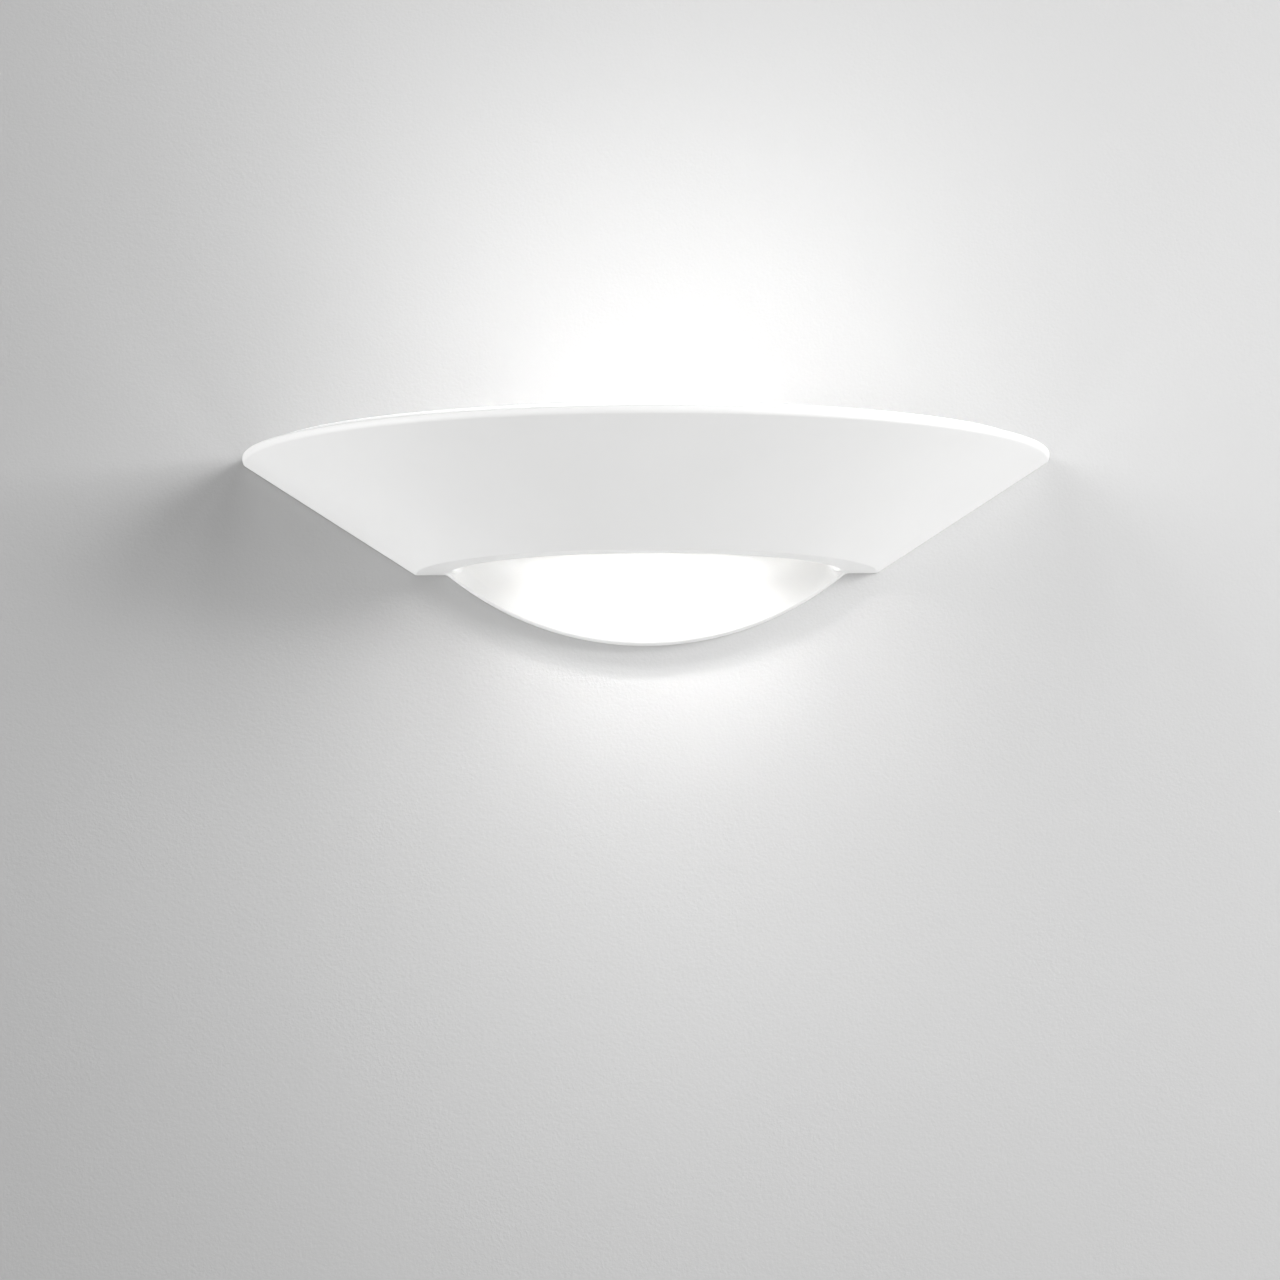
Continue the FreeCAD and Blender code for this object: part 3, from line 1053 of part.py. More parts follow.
PIECES = {
    "bowl_body": make_bowl_body,
    "glass_cover": make_glass_cover,
    "glass_pads": make_glass_pads,
    "wall_plate": make_wall_plate,
    "cable_grommet": make_cable_grommet,
    "fixing_studs": make_fixing_studs,
    "stud_washers": make_stud_washers,
    "knurled_nuts": make_knurled_nuts,
    "bracket_spacers": make_bracket_spacers,
    "lamp_bracket": make_lamp_bracket,
    "bracket_screws": make_bracket_screws,
    "bracket_washers": make_bracket_washers,
    "reflector": make_reflector,
    "reflector_rivets": make_reflector_rivets,
    "lampholder_left": lambda: make_lampholder(-1),
    "lampholder_right": lambda: make_lampholder(1),
    "holder_screws": make_holder_screws,
    "holder_nuts": make_holder_nuts,
    "fixed_contact": make_fixed_contact,
    "contact_barrel": make_contact_barrel,
    "sprung_contact": make_sprung_contact,
    "contact_spring": make_contact_spring,
    "contact_sleeves": make_contact_sleeves,
    "lamp_tube": make_lamp_tube,
    "lamp_caps": make_lamp_caps,
    "lamp_contacts": make_lamp_contacts,
    "lamp_filament": make_lamp_filament,
    "filament_supports": make_filament_supports,
    "terminal_block": make_terminal_block,
    "terminal_tubes": make_terminal_tubes,
    "terminal_screws": make_terminal_screws,
    "terminal_fixings": make_terminal_fixings,
    "earth_lug": make_earth_lug,
    "earth_washer": make_earth_washer,
    "earth_screw": make_earth_screw,
    "live_wire": make_live_wire,
    "neutral_wire": make_neutral_wire,
    "earth_wire": make_earth_wire,
}

os.makedirs("parts", exist_ok=True)
for name, make in PIECES.items():
    shape = make()
    shape.exportStep("parts/" + name + ".step")
    print(name, "solids", len(shape.Solids), "valid", shape.isValid(), "volume", round(shape.Volume, 1))
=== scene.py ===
# %% [markdown]
# # A lit ceramic wall sconce
#
# The sconce is a half-round bowl of matt white ceramic that hangs on a wall with its lamp
# alight. Its exact shape comes from CAD, so this lesson is about what CAD leaves out: how the
# surfaces look, what the lamp and the wires are really like, and the soft light of the room.

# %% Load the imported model
import math

import bpy
from mathutils import Matrix, Vector


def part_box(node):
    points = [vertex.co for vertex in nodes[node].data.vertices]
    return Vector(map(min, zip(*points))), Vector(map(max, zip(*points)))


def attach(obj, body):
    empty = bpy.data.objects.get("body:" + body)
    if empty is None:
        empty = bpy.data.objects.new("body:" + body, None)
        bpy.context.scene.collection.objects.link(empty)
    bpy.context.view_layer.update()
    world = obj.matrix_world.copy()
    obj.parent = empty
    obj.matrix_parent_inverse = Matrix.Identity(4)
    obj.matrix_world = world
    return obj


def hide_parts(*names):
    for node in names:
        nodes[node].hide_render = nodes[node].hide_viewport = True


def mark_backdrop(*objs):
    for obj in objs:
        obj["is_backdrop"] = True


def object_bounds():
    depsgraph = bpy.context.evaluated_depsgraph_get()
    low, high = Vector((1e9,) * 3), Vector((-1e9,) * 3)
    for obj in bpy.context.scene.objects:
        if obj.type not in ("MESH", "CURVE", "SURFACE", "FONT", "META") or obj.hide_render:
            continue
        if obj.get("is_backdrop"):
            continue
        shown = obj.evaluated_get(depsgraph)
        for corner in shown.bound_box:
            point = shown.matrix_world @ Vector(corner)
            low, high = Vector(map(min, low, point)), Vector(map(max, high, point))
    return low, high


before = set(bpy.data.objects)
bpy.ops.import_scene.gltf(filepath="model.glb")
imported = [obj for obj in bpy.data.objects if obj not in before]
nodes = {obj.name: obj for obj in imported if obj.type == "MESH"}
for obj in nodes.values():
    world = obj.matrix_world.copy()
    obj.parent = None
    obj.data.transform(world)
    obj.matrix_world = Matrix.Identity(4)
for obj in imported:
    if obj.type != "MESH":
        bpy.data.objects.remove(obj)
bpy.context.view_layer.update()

# %% [markdown]
# ## The camera
#
# The picture is taken square to the wall from a little below the sconce, with a long lens.
# Its pitch, height and distance were worked out from the rim, the ring and the tongue, so the
# render can be laid over the picture. A camera that is aimed at a point would be simpler, but
# a small roll would be lost. Depth of field stays off.

# %% Place the camera
MM = 0.001
CAMERA_PLACE = Vector((-2.9, -3000.0, -340.2)) * MM
CAMERA_PITCH = math.radians(5.505)
CAMERA_ROLL = math.radians(-0.267)
CAMERA_LENS = 195.67

camera_data = bpy.data.cameras.new("camera")
camera_data.lens = CAMERA_LENS
camera_data.sensor_width = 36.0
camera_data.clip_start = 0.05
camera_data.clip_end = 50.0
camera = bpy.data.objects.new("camera", camera_data)
bpy.context.scene.collection.objects.link(camera)
camera.location = CAMERA_PLACE
level = Matrix.Rotation(math.radians(90) + CAMERA_PITCH, 3, "X")
camera.rotation_euler = (level @ Matrix.Rotation(CAMERA_ROLL, 3, "Z")).to_euler()
bpy.context.scene.camera = camera
bpy.context.scene.view_settings.view_transform = "Standard"
print("camera", round(camera.location.length, 3), "m from the wall plate")

# %% [markdown]
# ## Finishes as sums
#
# A finish is a small network of nodes. Written link by link it is hard to read, so a socket is
# wrapped in a class that knows Python's operators: noise * 0.2 + 0.4 adds the two Math nodes
# by itself. Every other kind of node comes from one method.

# %% A socket that does sums
class Value:
    """A socket on which Python's operators add Math nodes."""

    def __init__(self, finish, socket):
        self.finish = finish
        self.socket = socket

    def work(self, operation, first, second):
        return self.finish.node("ShaderNodeMath", {"operation": operation}, {0: first, 1: second})

    def __add__(self, other):
        return self.work("ADD", self, other)

    def __sub__(self, other):
        return self.work("SUBTRACT", self, other)

    def __rsub__(self, other):
        return self.work("SUBTRACT", other, self)

    def __mul__(self, other):
        return self.work("MULTIPLY", self, other)

    __radd__ = __add__
    __rmul__ = __mul__


# %% A finish
class Finish:
    """A material with one main shader, whose nodes are all added by one method."""

    def __init__(self, name):
        self.material = bpy.data.materials.new(name)
        self.material.use_nodes = True
        self.tree = self.material.node_tree
        self.tree.nodes.clear()
        self.output = self.tree.nodes.new("ShaderNodeOutputMaterial")
        self.shader = self.tree.nodes.new("ShaderNodeBsdfPrincipled")
        self.tree.links.new(self.shader.outputs[0], self.output.inputs[0])

    def plug(self, socket, value):
        if isinstance(value, Value):
            self.tree.links.new(value.socket, socket)
        else:
            socket.default_value = value

    def node(self, kind, settings=None, sockets=None, out=0):
        made = self.tree.nodes.new(kind)
        for name, value in (settings or {}).items():
            setattr(made, name, value)
        for place, value in (sockets or {}).items():
            self.plug(made.inputs[place], value)
        return Value(self, made.outputs[out])

    def place(self):
        """Object coordinates, in metres."""
        return self.node("ShaderNodeTexCoord", out="Object")

    def noise(self, size, detail=2.0, stretch=(1, 1, 1), rough=0.5):
        """Soft clouds from 0 to 1, about size metres across."""
        at = self.node("ShaderNodeMapping", {}, {"Vector": self.place(), "Scale": stretch})
        return self.node("ShaderNodeTexNoise", {}, {"Vector": at, "Scale": 1 / size,
                                                    "Detail": detail, "Roughness": rough})

    def blend(self, share, low, high):
        """A colour between two, by a share from 0 to 1."""
        return self.node("ShaderNodeMix", {"data_type": "RGBA"}, {0: share, 6: low, 7: high},
                         out=2)

    def limits(self, value, low, high):
        """0 up to the low limit and 1 from the high one, with an even run between."""
        return self.node("ShaderNodeMapRange", {}, {0: value, 1: low, 2: high})

    def relief(self, height, distance, strength=1.0):
        return self.node("ShaderNodeBump", {}, {"Height": height, "Distance": distance,
                                                "Strength": strength})

    def surface(self, **sockets):
        """Sets the main shader's sockets; Base_Color stands for Base Color."""
        for name, value in sockets.items():
            self.plug(self.shader.inputs[name.replace("_", " ")], value)


def colour(red, green, blue):
    return (red, green, blue, 1.0)


def dress(finish, *names):
    """Gives CAD nodes a finish through their material slots."""
    for name in names:
        mesh = nodes[name].data
        if not mesh.materials:
            mesh.materials.append(finish.material)
        for i in range(len(mesh.materials)):
            mesh.materials[i] = finish.material
    print(finish.material.name, "->", ", ".join(names))


# %% [markdown]
# ## Working as by hand
#
# Every new piece is made with the tools of edit mode. A mesh could also be written out point by
# point, but that hides how it is built. An operator acts on all that is selected, so these
# helpers select one object, or a few of its faces by their place, and apply what a modifier or
# a turn has done. A finished piece sits at the origin, with its place in its mesh.

# %% Helpers for whole objects
def only(obj):
    """Leaves one object selected and active."""
    bpy.ops.object.select_all(action="DESELECT")
    obj.select_set(True)
    bpy.context.view_layer.objects.active = obj
    return obj


def settle(obj):
    """Applies place, turn and scale, so that the object sits at the origin."""
    only(obj)
    bpy.ops.object.transform_apply(location=True, rotation=True, scale=True)
    return obj


def add(kind, **settings):
    """Adds a primitive with nothing else selected; its place and turn go into its mesh."""
    bpy.ops.object.select_all(action="DESELECT")
    getattr(bpy.ops.mesh, "primitive_" + kind + "_add")(**settings)
    return settle(bpy.context.object)


def finish_with(obj, kind, **settings):
    """Adds a modifier and applies it."""
    only(obj)
    modifier = obj.modifiers.new(kind.lower(), kind)
    for name, value in settings.items():
        setattr(modifier, name, value)
    bpy.ops.object.modifier_apply(modifier=modifier.name)


def join(name, *parts):
    """Joins meshes into the first of them, under a new name."""
    bpy.ops.object.select_all(action="DESELECT")
    for part in parts:
        part.select_set(True)
    bpy.context.view_layer.objects.active = parts[0]
    bpy.ops.object.join()
    parts[0].name = name
    return parts[0]


def smooth(obj, degrees):
    """Shades smooth, but keeps the edges that turn by more than an angle."""
    only(obj)
    bpy.ops.object.shade_smooth_by_angle(angle=math.radians(degrees))
    return obj


def coat(obj, finish):
    """Leaves a finish as an object's only material."""
    obj.data.materials.clear()
    obj.data.materials.append(finish.material)


# %% Helpers for edit mode
def pick(obj, part, test):
    """Enters edit mode with only those vertices or polygons selected whose place passes."""
    only(obj)
    bpy.ops.object.mode_set(mode="EDIT")
    bpy.ops.mesh.select_mode(type="VERT" if part == "vertices" else "FACE")
    bpy.ops.mesh.select_all(action="DESELECT")
    bpy.ops.object.mode_set(mode="OBJECT")
    for item in getattr(obj.data, part):
        item.select = test(item.co if part == "vertices" else item.center)
    bpy.ops.object.mode_set(mode="EDIT")


def leave_edit():
    bpy.ops.object.mode_set(mode="OBJECT")


def face_outwards(obj):
    """Merges doubles and turns all faces outwards."""
    only(obj)
    bpy.ops.object.mode_set(mode="EDIT")
    bpy.ops.mesh.select_all(action="SELECT")
    bpy.ops.mesh.remove_doubles(threshold=0.002 * MM)
    bpy.ops.mesh.normals_make_consistent(inside=False)
    leave_edit()


print("helpers ready")

# %% [markdown]
# ## The wall and the floor
#
# The wall is smooth plaster under roller paint with a very fine grain. It can be seen through
# from behind, where the paint gives way to a transparent shader. Taking the wall away for those
# views would work too, but one scene has to serve them all.

# %% Paint for the wall and the floor
SHADE_DRIFT = 0.008     # how far the paint's shade drifts either way
PATCH_SIZE = 0.5        # over about this distance, in metres


def room_paint(name, shade, grain, depth):
    paint = Finish(name)
    fine = paint.noise(grain, 2.0, rough=0.6)
    patches = paint.noise(PATCH_SIZE, 2.0)
    low, high = shade - SHADE_DRIFT, shade + SHADE_DRIFT
    paint.surface(Base_Color=paint.blend(patches, colour(low, low, low), colour(high, high, high)),
                  Roughness=0.85, Specular_IOR_Level=0.25, Normal=paint.relief(fine, depth))
    behind = paint.node("ShaderNodeNewGeometry", out="Backfacing")
    clear = paint.node("ShaderNodeBsdfTransparent")
    painted = Value(paint, paint.shader.outputs[0])
    mixed = paint.node("ShaderNodeMixShader", {}, {0: behind, 1: painted, 2: clear})
    paint.tree.links.new(mixed.socket, paint.output.inputs[0])
    return paint


WALL_Y = 0.4 * MM       # just behind the sconce's flat back
WALL_SIZE = 3.2
FLOOR_Z = -1.45

wall = add("plane", size=WALL_SIZE, location=(0, WALL_Y, 0), rotation=(math.radians(90), 0, 0))
wall.name = "wall"
floor = add("plane", size=WALL_SIZE, location=(0, WALL_Y - WALL_SIZE / 2, FLOOR_Z))
floor.name = "floor"
coat(wall, room_paint("wall_paint", 0.62, 1.3 * MM, 0.10 * MM))
coat(floor, room_paint("floor_paint", 0.80, 20 * MM, 0.2 * MM))
print("wall and floor", WALL_SIZE, "m wide")

# %% [markdown]
# ## A hole behind the sconce
#
# The back of the sconce lies on the wall, so no light would reach it in the views from behind.
# A hole there lets the light in. It is a little smaller than the sconce's back, so it never
# shows from the front. A tapered block cuts the part behind the bowl and a disc, with its top
# cut off, the part behind the tongue. The wall has no thickness, so the cut leaves the
# cutters' own far side standing behind it, and those faces are deleted.

# %% Cutters in the outline of the sconce's back
RIM_HALF, RIM_TOP = 173.5 * MM, 28.2 * MM
RING_HALF, RING_HEIGHT = 98.5 * MM, -21.9 * MM
TONGUE_HALF, TONGUE_LOW = 85.5 * MM, -53.0 * MM
CUTTER_DEPTH = 0.02
CUTTER_OVERLAP = 1 * MM     # of the disc with the block

block = add("cube", size=1, location=(0, 0, (RIM_TOP + RING_HEIGHT) / 2),
            scale=(2 * RIM_HALF, CUTTER_DEPTH, RIM_TOP - RING_HEIGHT))
pick(block, "vertices", lambda at: at.z < 0)
bpy.ops.transform.resize(value=(RING_HALF / RIM_HALF, 1, 1))
leave_edit()

tongue_drop = RING_HEIGHT - TONGUE_LOW
tongue_radius = (TONGUE_HALF ** 2 + tongue_drop ** 2) / (2 * tongue_drop)
disc = add("cylinder", vertices=128, radius=tongue_radius, depth=CUTTER_DEPTH,
           location=(0, 0, TONGUE_LOW + tongue_radius), rotation=(math.radians(90), 0, 0))
pick(disc, "vertices", lambda at: True)
bpy.ops.mesh.bisect(plane_co=(0, 0, RING_HEIGHT + CUTTER_OVERLAP), plane_no=(0, 0, 1),
                    clear_outer=True, use_fill=True)
leave_edit()
print("disc radius", round(tongue_radius / MM, 1), "mm")

# %% Cut the hole
for cutter in (block, disc):
    finish_with(wall, "BOOLEAN", operation="DIFFERENCE", object=cutter, solver="EXACT")
    bpy.data.objects.remove(cutter)
pick(wall, "polygons", lambda at: at.y > WALL_Y + 0.6 * MM)
bpy.ops.mesh.delete(type="FACE")
leave_edit()
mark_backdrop(wall, floor)
print("wall faces", len(wall.data.polygons))

# %% [markdown]
# ## Light
#
# The room has an even, low sky and a large soft key light high on the right. Two low lights at
# the sides make the cone brighter towards the wall. The left one leaves the wall out, because
# the sconce's shadow lies on that side. One from the front, as high as the cone leans back,
# brightens the upright rim and hardly the cone. The last one stands behind the wall.

# %% The sky
SKY_LIGHT = 0.25        # strength with which the sky lights the room
SKY_SEEN = 0.9          # strength with which the camera sees it

world = bpy.data.worlds.new("room")
bpy.context.scene.world = world
world.use_nodes = True
sky = world.node_tree
background = sky.nodes["Background"]
light_path = sky.nodes.new("ShaderNodeLightPath")
to_camera = sky.nodes.new("ShaderNodeMapRange")
to_camera.inputs["To Min"].default_value = SKY_LIGHT
to_camera.inputs["To Max"].default_value = SKY_SEEN
sky.links.new(light_path.outputs["Is Camera Ray"], to_camera.inputs["Value"])
sky.links.new(to_camera.outputs["Result"], background.inputs["Strength"])
background.inputs["Color"].default_value = colour(1, 1, 1)
print("sky", SKY_LIGHT)


# %% The studio lamps
def light(name, kind, place, power, size, receivers=None):
    """A light at a place; an area light faces the sconce. Receivers limit what it falls on."""
    data = bpy.data.lights.new(name, kind)
    data.energy = power
    made = bpy.data.objects.new(name, data)
    bpy.context.scene.collection.objects.link(made)
    made.location = place
    if kind == "AREA":
        data.size = size
        made.rotation_euler = (-Vector(place)).to_track_quat("-Z", "Y").to_euler()
    else:
        data.shadow_soft_size = size
    if receivers:
        made.light_linking.receiver_collection = receivers


not_the_wall = bpy.data.collections.new("not_the_wall")
not_the_wall.objects.link(wall)
not_the_wall.collection_objects[0].light_linking.link_state = "EXCLUDE"

# (name, place in metres, watts, size in metres, what it falls on)
STUDIO_LIGHTS = (
    ("key_light", (1.6, -1.5, 0.6), 23.0, 1.0, None),
    ("side_light_right", (1.4, -0.35, -0.45), 9.2, 0.6, None),
    ("side_light_left", (-1.4, -0.35, -0.45), 13.6, 0.6, not_the_wall),
    ("front_light", (0, -1.5, 0.95), 12.0, 0.5, not_the_wall),
    ("back_light", (0.9, 2.2, 0.7), 34.0, 1.4, None),
)
for name, place, power, size, receivers in STUDIO_LIGHTS:
    light(name, "AREA", place, power, size, receivers)
print("studio lights", len(STUDIO_LIGHTS))

# %% [markdown]
# ## The lamp's own light
#
# The lamp in the bowl is four small lights along its filament. On the real wall it burns far
# brighter than the room. At that level the bowl would be one white patch, so here it keeps a
# plain level, and the strong glow above and below comes from extra lights that only the wall
# and the floor receive.

# %% The lamp's light and its glow on the wall
LAMP_AXIS = Vector((0, -46.0, 0)) * MM
LAMP_POWER = 0.15
LAMP_PLACES = (-24, -8, 8, 24)      # along the filament, in millimetres
WASH_SIZE = 0.05
# (name, place in metres, watts)
WALL_WASHES = (
    ("wash_right", (0.5, -0.5, 0.1), 2.9),
    ("wash_left", (-0.45, -0.6, 0.55), 1.0),
    ("wash_high", (0, -0.35, 0.28), 0.72),
    ("wash_low", (0, -0.22, -0.19), 0.31),
)

for i, x in enumerate(LAMP_PLACES):
    light("glow_" + str(i), "POINT", LAMP_AXIS + Vector((x * MM, 0, 0)),
          LAMP_POWER / len(LAMP_PLACES), 4 * MM)
room = bpy.data.collections.new("room")
room.objects.link(wall)
room.objects.link(floor)
for side in (-1, 1):
    light("wash_above_" + str(side), "POINT", (side * 0.060, -0.150, 0.090), 0.31, 0.03, room)
    light("wash_below_" + str(side), "POINT", (side * 0.040, -0.150, -0.110), 0.075, 0.03, room)
for name, place, power in WALL_WASHES:
    light(name, "POINT", place, power, WASH_SIZE, room)

# %% [markdown]
# ## The ceramic
#
# The bowl is cast in slip, fired and sprayed matt white. Close by it isn't one flat white: the
# coat is a touch thicker here and there, and has a fine sprayed grain. Three noises of
# different size give that, where a single one would look like plaster.

# %% White ceramic
ceramic = Finish("white_ceramic")
thickness = ceramic.noise(45 * MM, 2.0)
grain = ceramic.noise(0.9 * MM, 3.0)
waves = ceramic.noise(9 * MM, 1.0)
ceramic.surface(
    Base_Color=ceramic.blend(thickness, colour(0.855, 0.855, 0.85), colour(0.885, 0.885, 0.88)),
    Roughness=0.46 + thickness * 0.08 + grain * 0.06,
    Specular_IOR_Level=0.42,
    Normal=ceramic.relief(grain * 0.3 + waves, 0.12 * MM, 0.5))
dress(ceramic, "bowl_body")

# %% [markdown]
# ## The glass cover
#
# The cover is clear on its faces and ground at its edge, where it looks milky. The ground edge
# also gets a painted glow: a fixed emission that stands in for the lamp light a pane lit from
# below would carry to its edge. Both are one finish: the distance from the bowl's axis tells
# edge from face.

# %% Clear glass with a ground edge and a painted glow
GROUND_FROM, GROUND_FULL = 0.7 * MM, 0.3 * MM   # distances inside the glass's own edge

glass = Finish("cover_glass")
level_place = glass.node("ShaderNodeVectorMath", {"operation": "MULTIPLY"},
                         {0: glass.place(), 1: (1, 1, 0)})
radius = glass.node("ShaderNodeVectorMath", {"operation": "LENGTH"}, {0: level_place},
                    out="Value")
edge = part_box("glass_cover")[1].x
ground_and_painted_glow = glass.limits(radius, edge - GROUND_FROM, edge - GROUND_FULL)
smear = glass.noise(30 * MM, 3.0)
glass.surface(
    Base_Color=glass.blend(ground_and_painted_glow, colour(0.93, 0.94, 0.935), colour(0.955, 0.96, 0.96)),
    Roughness=0.03 + smear * 0.04 + ground_and_painted_glow * 0.45,
    Alpha=0.12 + ground_and_painted_glow * 0.8,
    # painted glow: the ground edge emits a fixed light of its own, whatever the lamp does
    Emission_Color=glass.blend(ground_and_painted_glow, colour(0, 0, 0), colour(0.3, 0.3, 0.3)),
    Emission_Strength=1.0)
dress(glass, "glass_cover")

# %% [markdown]
# ## Metals
#
# One function makes each metal: a base colour that drifts a little, a fine grain that can be
# stretched along the direction of rolling, and a roughness that follows both. Eight finishes
# written out one by one would differ by accident.

# %% A function for metals
def metal(name, low, high, roughness, grain_size=0.8, stretch=(1, 1, 1), depth=0.02):
    """A metal between two colours; its grain's size and depth are in millimetres."""
    made = Finish(name)
    drift = made.noise(14 * MM, 3.0)
    fine = made.noise(grain_size * MM, 2.0, stretch)
    made.surface(Base_Color=made.blend(drift, colour(*low), colour(*high)), Metallic=1.0,
                 Roughness=roughness - 0.06 + drift * 0.08 + fine * 0.08,
                 Normal=made.relief(fine, depth * MM, 0.6))
    return made


ROLLED = (0.03, 1, 1)
zinc = metal("zinc_steel", (0.56, 0.57, 0.59), (0.66, 0.66, 0.65), 0.36, 1.6, depth=0.03)
bright = metal("bright_steel", (0.60, 0.60, 0.61), (0.70, 0.70, 0.70), 0.28, 0.4)
brass = metal("brass", (0.72, 0.52, 0.24), (0.82, 0.62, 0.30), 0.27, 0.5)
mirror = metal("reflector_sheet", (0.86, 0.86, 0.87), (0.90, 0.90, 0.91), 0.2, 0.5, ROLLED)
rivet = metal("rivet_aluminium", (0.70, 0.70, 0.71), (0.78, 0.78, 0.78), 0.36)
nickel = metal("nickel_silver", (0.70, 0.69, 0.66), (0.78, 0.77, 0.74), 0.24)
tin = metal("tinned_copper", (0.62, 0.60, 0.56), (0.70, 0.68, 0.64), 0.34)
tungsten = metal("tungsten", (0.30, 0.30, 0.31), (0.38, 0.38, 0.38), 0.4)

# %% Metal pieces
dress(zinc, "wall_plate", "lamp_bracket", "bracket_spacers")
dress(bright, "fixing_studs", "bracket_screws", "bracket_washers", "holder_screws",
      "holder_nuts", "terminal_screws", "terminal_fixings", "earth_washer", "earth_screw",
      "contact_spring")
dress(brass, "knurled_nuts", "fixed_contact", "contact_barrel", "terminal_tubes")
dress(mirror, "reflector")
dress(rivet, "reflector_rivets")
dress(nickel, "sprung_contact", "lamp_contacts")
dress(tin, "earth_lug")
dress(tungsten, "filament_supports")

# %% [markdown]
# ## Ceramic blocks, rubber, fibre and plastics
#
# None of these is a metal; they differ in colour, sheen and the size of their grain, so a
# second function makes them all.

# %% A function for plain stuffs
def plain(name, low, high, roughness, patch=8.0, grain_size=0.5, depth=0.03, sheen=0.5):
    """A stuff between two colours; its patches, grain and depth are in millimetres."""
    made = Finish(name)
    patches = made.noise(patch * MM, 3.0)
    fine = made.noise(grain_size * MM, 2.0)
    made.surface(Base_Color=made.blend(patches, colour(*low), colour(*high)),
                 Roughness=roughness - 0.05 + patches * 0.05 + fine * 0.05,
                 Specular_IOR_Level=sheen, Normal=made.relief(fine, depth * MM, 0.6))
    return made


steatite = plain("steatite", (0.80, 0.77, 0.70), (0.86, 0.84, 0.78), 0.55, 5.0, 0.35, 0.05)
nylon = plain("terminal_nylon", (0.82, 0.81, 0.76), (0.86, 0.85, 0.81), 0.42, 12.0, 0.3, 0.01)
fibre = plain("red_fibre", (0.36, 0.12, 0.07), (0.46, 0.17, 0.10), 0.7, 2.0, 0.25, 0.04)
rubber = plain("black_rubber", (0.018, 0.018, 0.018), (0.035, 0.035, 0.034), 0.62, 3.0, 0.3,
               0.03, 0.35)
silicone = plain("clear_silicone", (0.78, 0.79, 0.78), (0.84, 0.85, 0.84), 0.4, 3.0, 0.5, 0.01)
sleeving = plain("woven_sleeve", (0.72, 0.69, 0.60), (0.80, 0.77, 0.69), 0.75, 1.2, 0.3, 0.08)

# %% Pieces of ceramic, rubber, fibre and plastic
dress(steatite, "lampholder_left", "lampholder_right", "lamp_caps")
dress(nylon, "terminal_block")
dress(fibre, "stud_washers")
dress(rubber, "cable_grommet")
dress(silicone, "glass_pads")
dress(sleeving, "contact_sleeves")

# %% [markdown]
# ## The wires
#
# Three wires run inside: brown to the sprung contact, blue to the fixed one, and a striped one
# to the earth tag. The CAD wires are straight runs with arcs between them, which looks bent
# with pliers. Here each is a smooth curve through the points of its route, with a round
# section, and it enters its clamp and its contact straight. The earth wire's two colours are
# moulded side by side along it, so its stripe follows the way round the section, which the
# curve leaves in its map.

# %% A wire along its route
WIRE_RADIUS = 1.1 * MM


def make_wire(node, finish, route):
    """Round wire on a smooth curve through a route in millimetres, as a mesh."""
    data = bpy.data.curves.new(node + "_route", "CURVE")
    data.dimensions = "3D"
    spline = data.splines.new("NURBS")
    spline.points.add(len(route) - 1)
    for point, (x, y, z) in zip(spline.points, route):
        point.co = (x * MM, y * MM, z * MM, 1)
    spline.order_u = 3
    spline.use_endpoint_u = True
    data.resolution_u = 10
    data.bevel_depth = WIRE_RADIUS
    data.bevel_resolution = 4
    data.use_fill_caps = True
    wire = bpy.data.objects.new(node + "_smooth", data)
    bpy.context.scene.collection.objects.link(wire)
    only(wire)
    bpy.ops.object.convert(target="MESH")
    wire = smooth(bpy.context.object, 60)
    coat(wire, finish)
    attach(wire, "fixture")
    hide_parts(node)
    print(wire.name, "faces", len(wire.data.polygons))


def to_holder(side):
    """The route's end: a loop past the bracket and straight into a holder's contact."""
    return [(side * 90.7, -14.0, 12.3), (side * 100.0, -23.3, 10.5), (side * 100.0, -36.7, 4.3),
            (side * 92.8, -46.0, 0.0), (side * 86.8, -46.0, 0.0), (side * 82.0, -46.0, 0.0)]


# %% Their insulation
brown = plain("brown_wire", (0.13, 0.055, 0.03), (0.18, 0.075, 0.04), 0.4, 6.0, 0.4, 0.01)
blue = plain("blue_wire", (0.03, 0.12, 0.36), (0.045, 0.16, 0.42), 0.4, 6.0, 0.4, 0.01)

striped = Finish("earth_wire_stripe")
wire_map = striped.node("ShaderNodeUVMap", {"uv_map": "UVMap"})
around = striped.node("ShaderNodeSeparateXYZ", {}, {0: wire_map}, out="Y")
yellow_share = striped.limits(around, 0.18, 0.20) - striped.limits(around, 0.55, 0.57)
striped.surface(
    Base_Color=striped.blend(yellow_share, colour(0.05, 0.25, 0.045), colour(0.78, 0.66, 0.05)),
    Roughness=0.36 + striped.noise(6 * MM) * 0.08,
    Normal=striped.relief(striped.noise(0.4 * MM), 0.01 * MM, 0.6))
print("insulation", brown.material.name, blue.material.name, striped.material.name)

# %% The three wires
make_wire("live_wire", brown,
          [(38.5, -6.5, -2.0), (38.5, -6.5, 5.0), (38.5, -6.5, 10.8), (47.5, -14.0, 12.3)]
          + to_holder(1))
make_wire("neutral_wire", blue,
          [(30.0, -6.5, -2.0), (30.0, -6.5, 5.0), (30.0, -6.5, 10.8), (21.0, -14.0, 12.3)]
          + to_holder(-1))
make_wire("earth_wire", striped,
          [(21.5, -6.5, -2.0), (21.5, -6.5, 5.0), (21.5, -6.5, 10.8), (9.5, -6.3, 11.3),
           (-3.5, -5.7, 9.3), (-9.5, -4.3, 3.0), (-14.5, -3.05, 0.0), (-18.5, -3.05, 0.0),
           (-24.0, -3.05, 0.0)])

